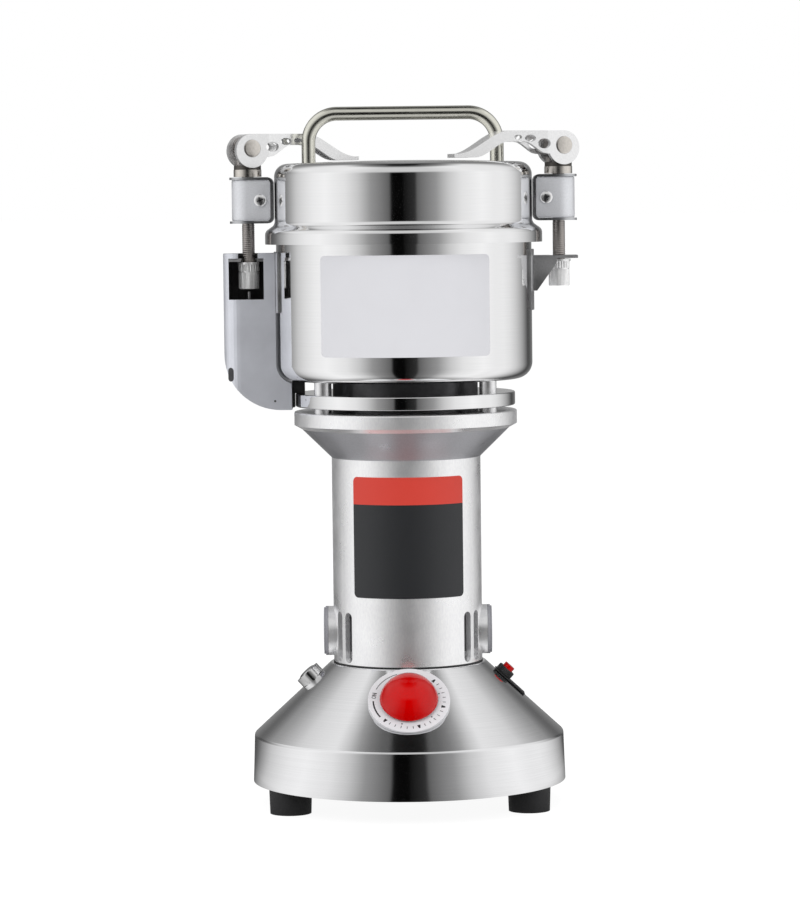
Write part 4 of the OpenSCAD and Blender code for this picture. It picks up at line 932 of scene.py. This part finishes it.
def studio(tree, direction):
    """Two sockets: how bright the studio is in a direction, and the same without the change upwards."""
    def ramp(value, stops, full):
        node = tree.nodes.new("ShaderNodeValToRGB")
        elements = node.color_ramp.elements
        while len(elements) < len(stops):
            elements.new(1)
        for element, (degrees, level) in zip(elements, stops):
            element.position = degrees / full
            element.color = (level, level, level, 1)
        tree.links.new(value, node.inputs[0])
        return node.outputs[0]

    parts = tree.nodes.new("ShaderNodeSeparateXYZ")
    tree.links.new(direction, parts.inputs[0])
    x, y, z = parts.outputs
    turn = calculate(tree, "ABSOLUTE", calculate(tree, "ARCTAN2", x, calculate(tree, "MULTIPLY", y, -1)))
    half_turns = calculate(tree, "MULTIPLY", turn, 1 / math.pi)
    to_the_right = calculate(tree, "GREATER_THAN", x, 0)
    around = mix(tree, to_the_right, ramp(half_turns, LEFT_STOPS, 180), ramp(half_turns, RIGHT_STOPS, 180))
    rise = calculate(tree, "MULTIPLY", calculate(tree, "ARCSINE", z), 2 / math.pi)
    above = ramp(rise, CEILING_STOPS, 90)
    upper = ramp(half_turns, UPPER_STOPS, 180)
    share = ramp(rise, [(UPPER_FROM, 0), (UPPER_TO, 1)], 90)
    return calculate(tree, "MULTIPLY", mix(tree, share, around, upper), above), around


def make_world():
    """White for the camera, even light on diffuse surfaces and the studio for what metal reflects."""
    world = bpy.data.worlds.new("studio")
    bpy.context.scene.world = world
    world.use_nodes = True
    world.cycles.sampling_method = "NONE"
    tree = world.node_tree
    background = tree.nodes["Background"]
    direction = tree.nodes.new("ShaderNodeTexCoord").outputs["Generated"]
    level, _ = studio(tree, direction)
    path = tree.nodes.new("ShaderNodeLightPath").outputs
    value = mix(tree, path["Is Glossy Ray"], WORLD_LEVEL, level)
    value = mix(tree, path["Is Transmission Ray"], value, 1.0)
    value = mix(tree, path["Is Camera Ray"], value, 1.0)
    tree.links.new(value, background.inputs["Strength"])
    background.inputs["Color"].default_value = (1, 1, 1, 1)


def make_floor():
    """A white floor that takes soft shadows for the camera and shows the studio's light to metal, with
    painted shade near the feet.
    """
    bpy.ops.mesh.primitive_plane_add(size=FLOOR_SIZE, location=(0, 0, 0))
    floor = bpy.context.object
    floor.name = "floor"
    material = bpy.data.materials.new("floor_white")
    material.use_nodes = True
    material.cycles.emission_sampling = "NONE"
    tree = material.node_tree
    tree.nodes.remove(tree.nodes["Principled BSDF"])
    diffuse = tree.nodes.new("ShaderNodeBsdfDiffuse")
    diffuse.inputs["Color"].default_value = FLOOR_COLOR
    glow = tree.nodes.new("ShaderNodeEmission")
    blend = tree.nodes.new("ShaderNodeMixShader")
    path = tree.nodes.new("ShaderNodeLightPath").outputs
    position = tree.nodes.new("ShaderNodeNewGeometry").outputs["Position"]
    _, around = studio(tree, position)
    distance = tree.nodes.new("ShaderNodeVectorMath")
    distance.operation = "LENGTH"
    tree.links.new(position, distance.inputs[0])
    near = tree.nodes.new("ShaderNodeMapRange")
    for socket, value in (("From Min", NEAR_FLOOR), ("From Max", FAR_FLOOR), ("To Min", NEAR_LEVEL)):
        near.inputs[socket].default_value = value
    tree.links.new(distance.outputs["Value"], near.inputs["Value"])
    # Painted shade: what metal sees of the floor is darker near the feet
    painted_shade_glow = calculate(tree, "MULTIPLY", around, near.outputs[0])
    tree.links.new(mix(tree, path["Is Glossy Ray"], FLOOR_GLOW, painted_shade_glow), glow.inputs["Strength"])
    share = mix(tree, path["Is Camera Ray"], mix(tree, path["Is Glossy Ray"], 0.0, 1.0), CAMERA_SHARE)
    share = mix(tree, path["Is Transmission Ray"], share, GLASS_SHARE)
    tree.links.new(share, blend.inputs[0])
    tree.links.new(diffuse.outputs[0], blend.inputs[1])
    tree.links.new(glow.outputs[0], blend.inputs[2])
    tree.links.new(blend.outputs[0], tree.nodes["Material Output"].inputs["Surface"])
    floor.data.materials.append(material)


def make_lamp(name, position, size, power):
    """A square lamp that metal doesn't reflect."""
    light = bpy.data.lights.new(name, "AREA")
    light.shape = "SQUARE"
    light.size = size
    light.energy = power
    holder = bpy.data.objects.new(name, light)
    bpy.context.scene.collection.objects.link(holder)
    holder.location = position
    holder.rotation_euler = (LAMP_TARGET - Vector(position)).to_track_quat("-Z", "Y").to_euler()
    holder.visible_glossy = False


def make_camera():
    """The camera that the photo was taken with, as worked out from the curves of the rims."""
    camera = bpy.data.cameras.new("camera")
    camera.lens = CAMERA_LENS
    camera.sensor_width = 36
    camera.clip_end = 1000
    holder = bpy.data.objects.new("camera", camera)
    bpy.context.scene.collection.objects.link(holder)
    holder.location = CAMERA_PLACE
    tilt = Euler((math.radians(90 + CAMERA_PITCH), 0, 0)).to_matrix()
    roll = Matrix.Rotation(math.radians(CAMERA_ROLL), 3, "Z")
    holder.rotation_euler = (tilt @ roll).to_euler()
    bpy.context.scene.camera = holder


make_world()
make_floor()
for settings in LAMPS:
    make_lamp(*settings)
make_camera()
bpy.context.scene.view_settings.view_transform = "Standard"
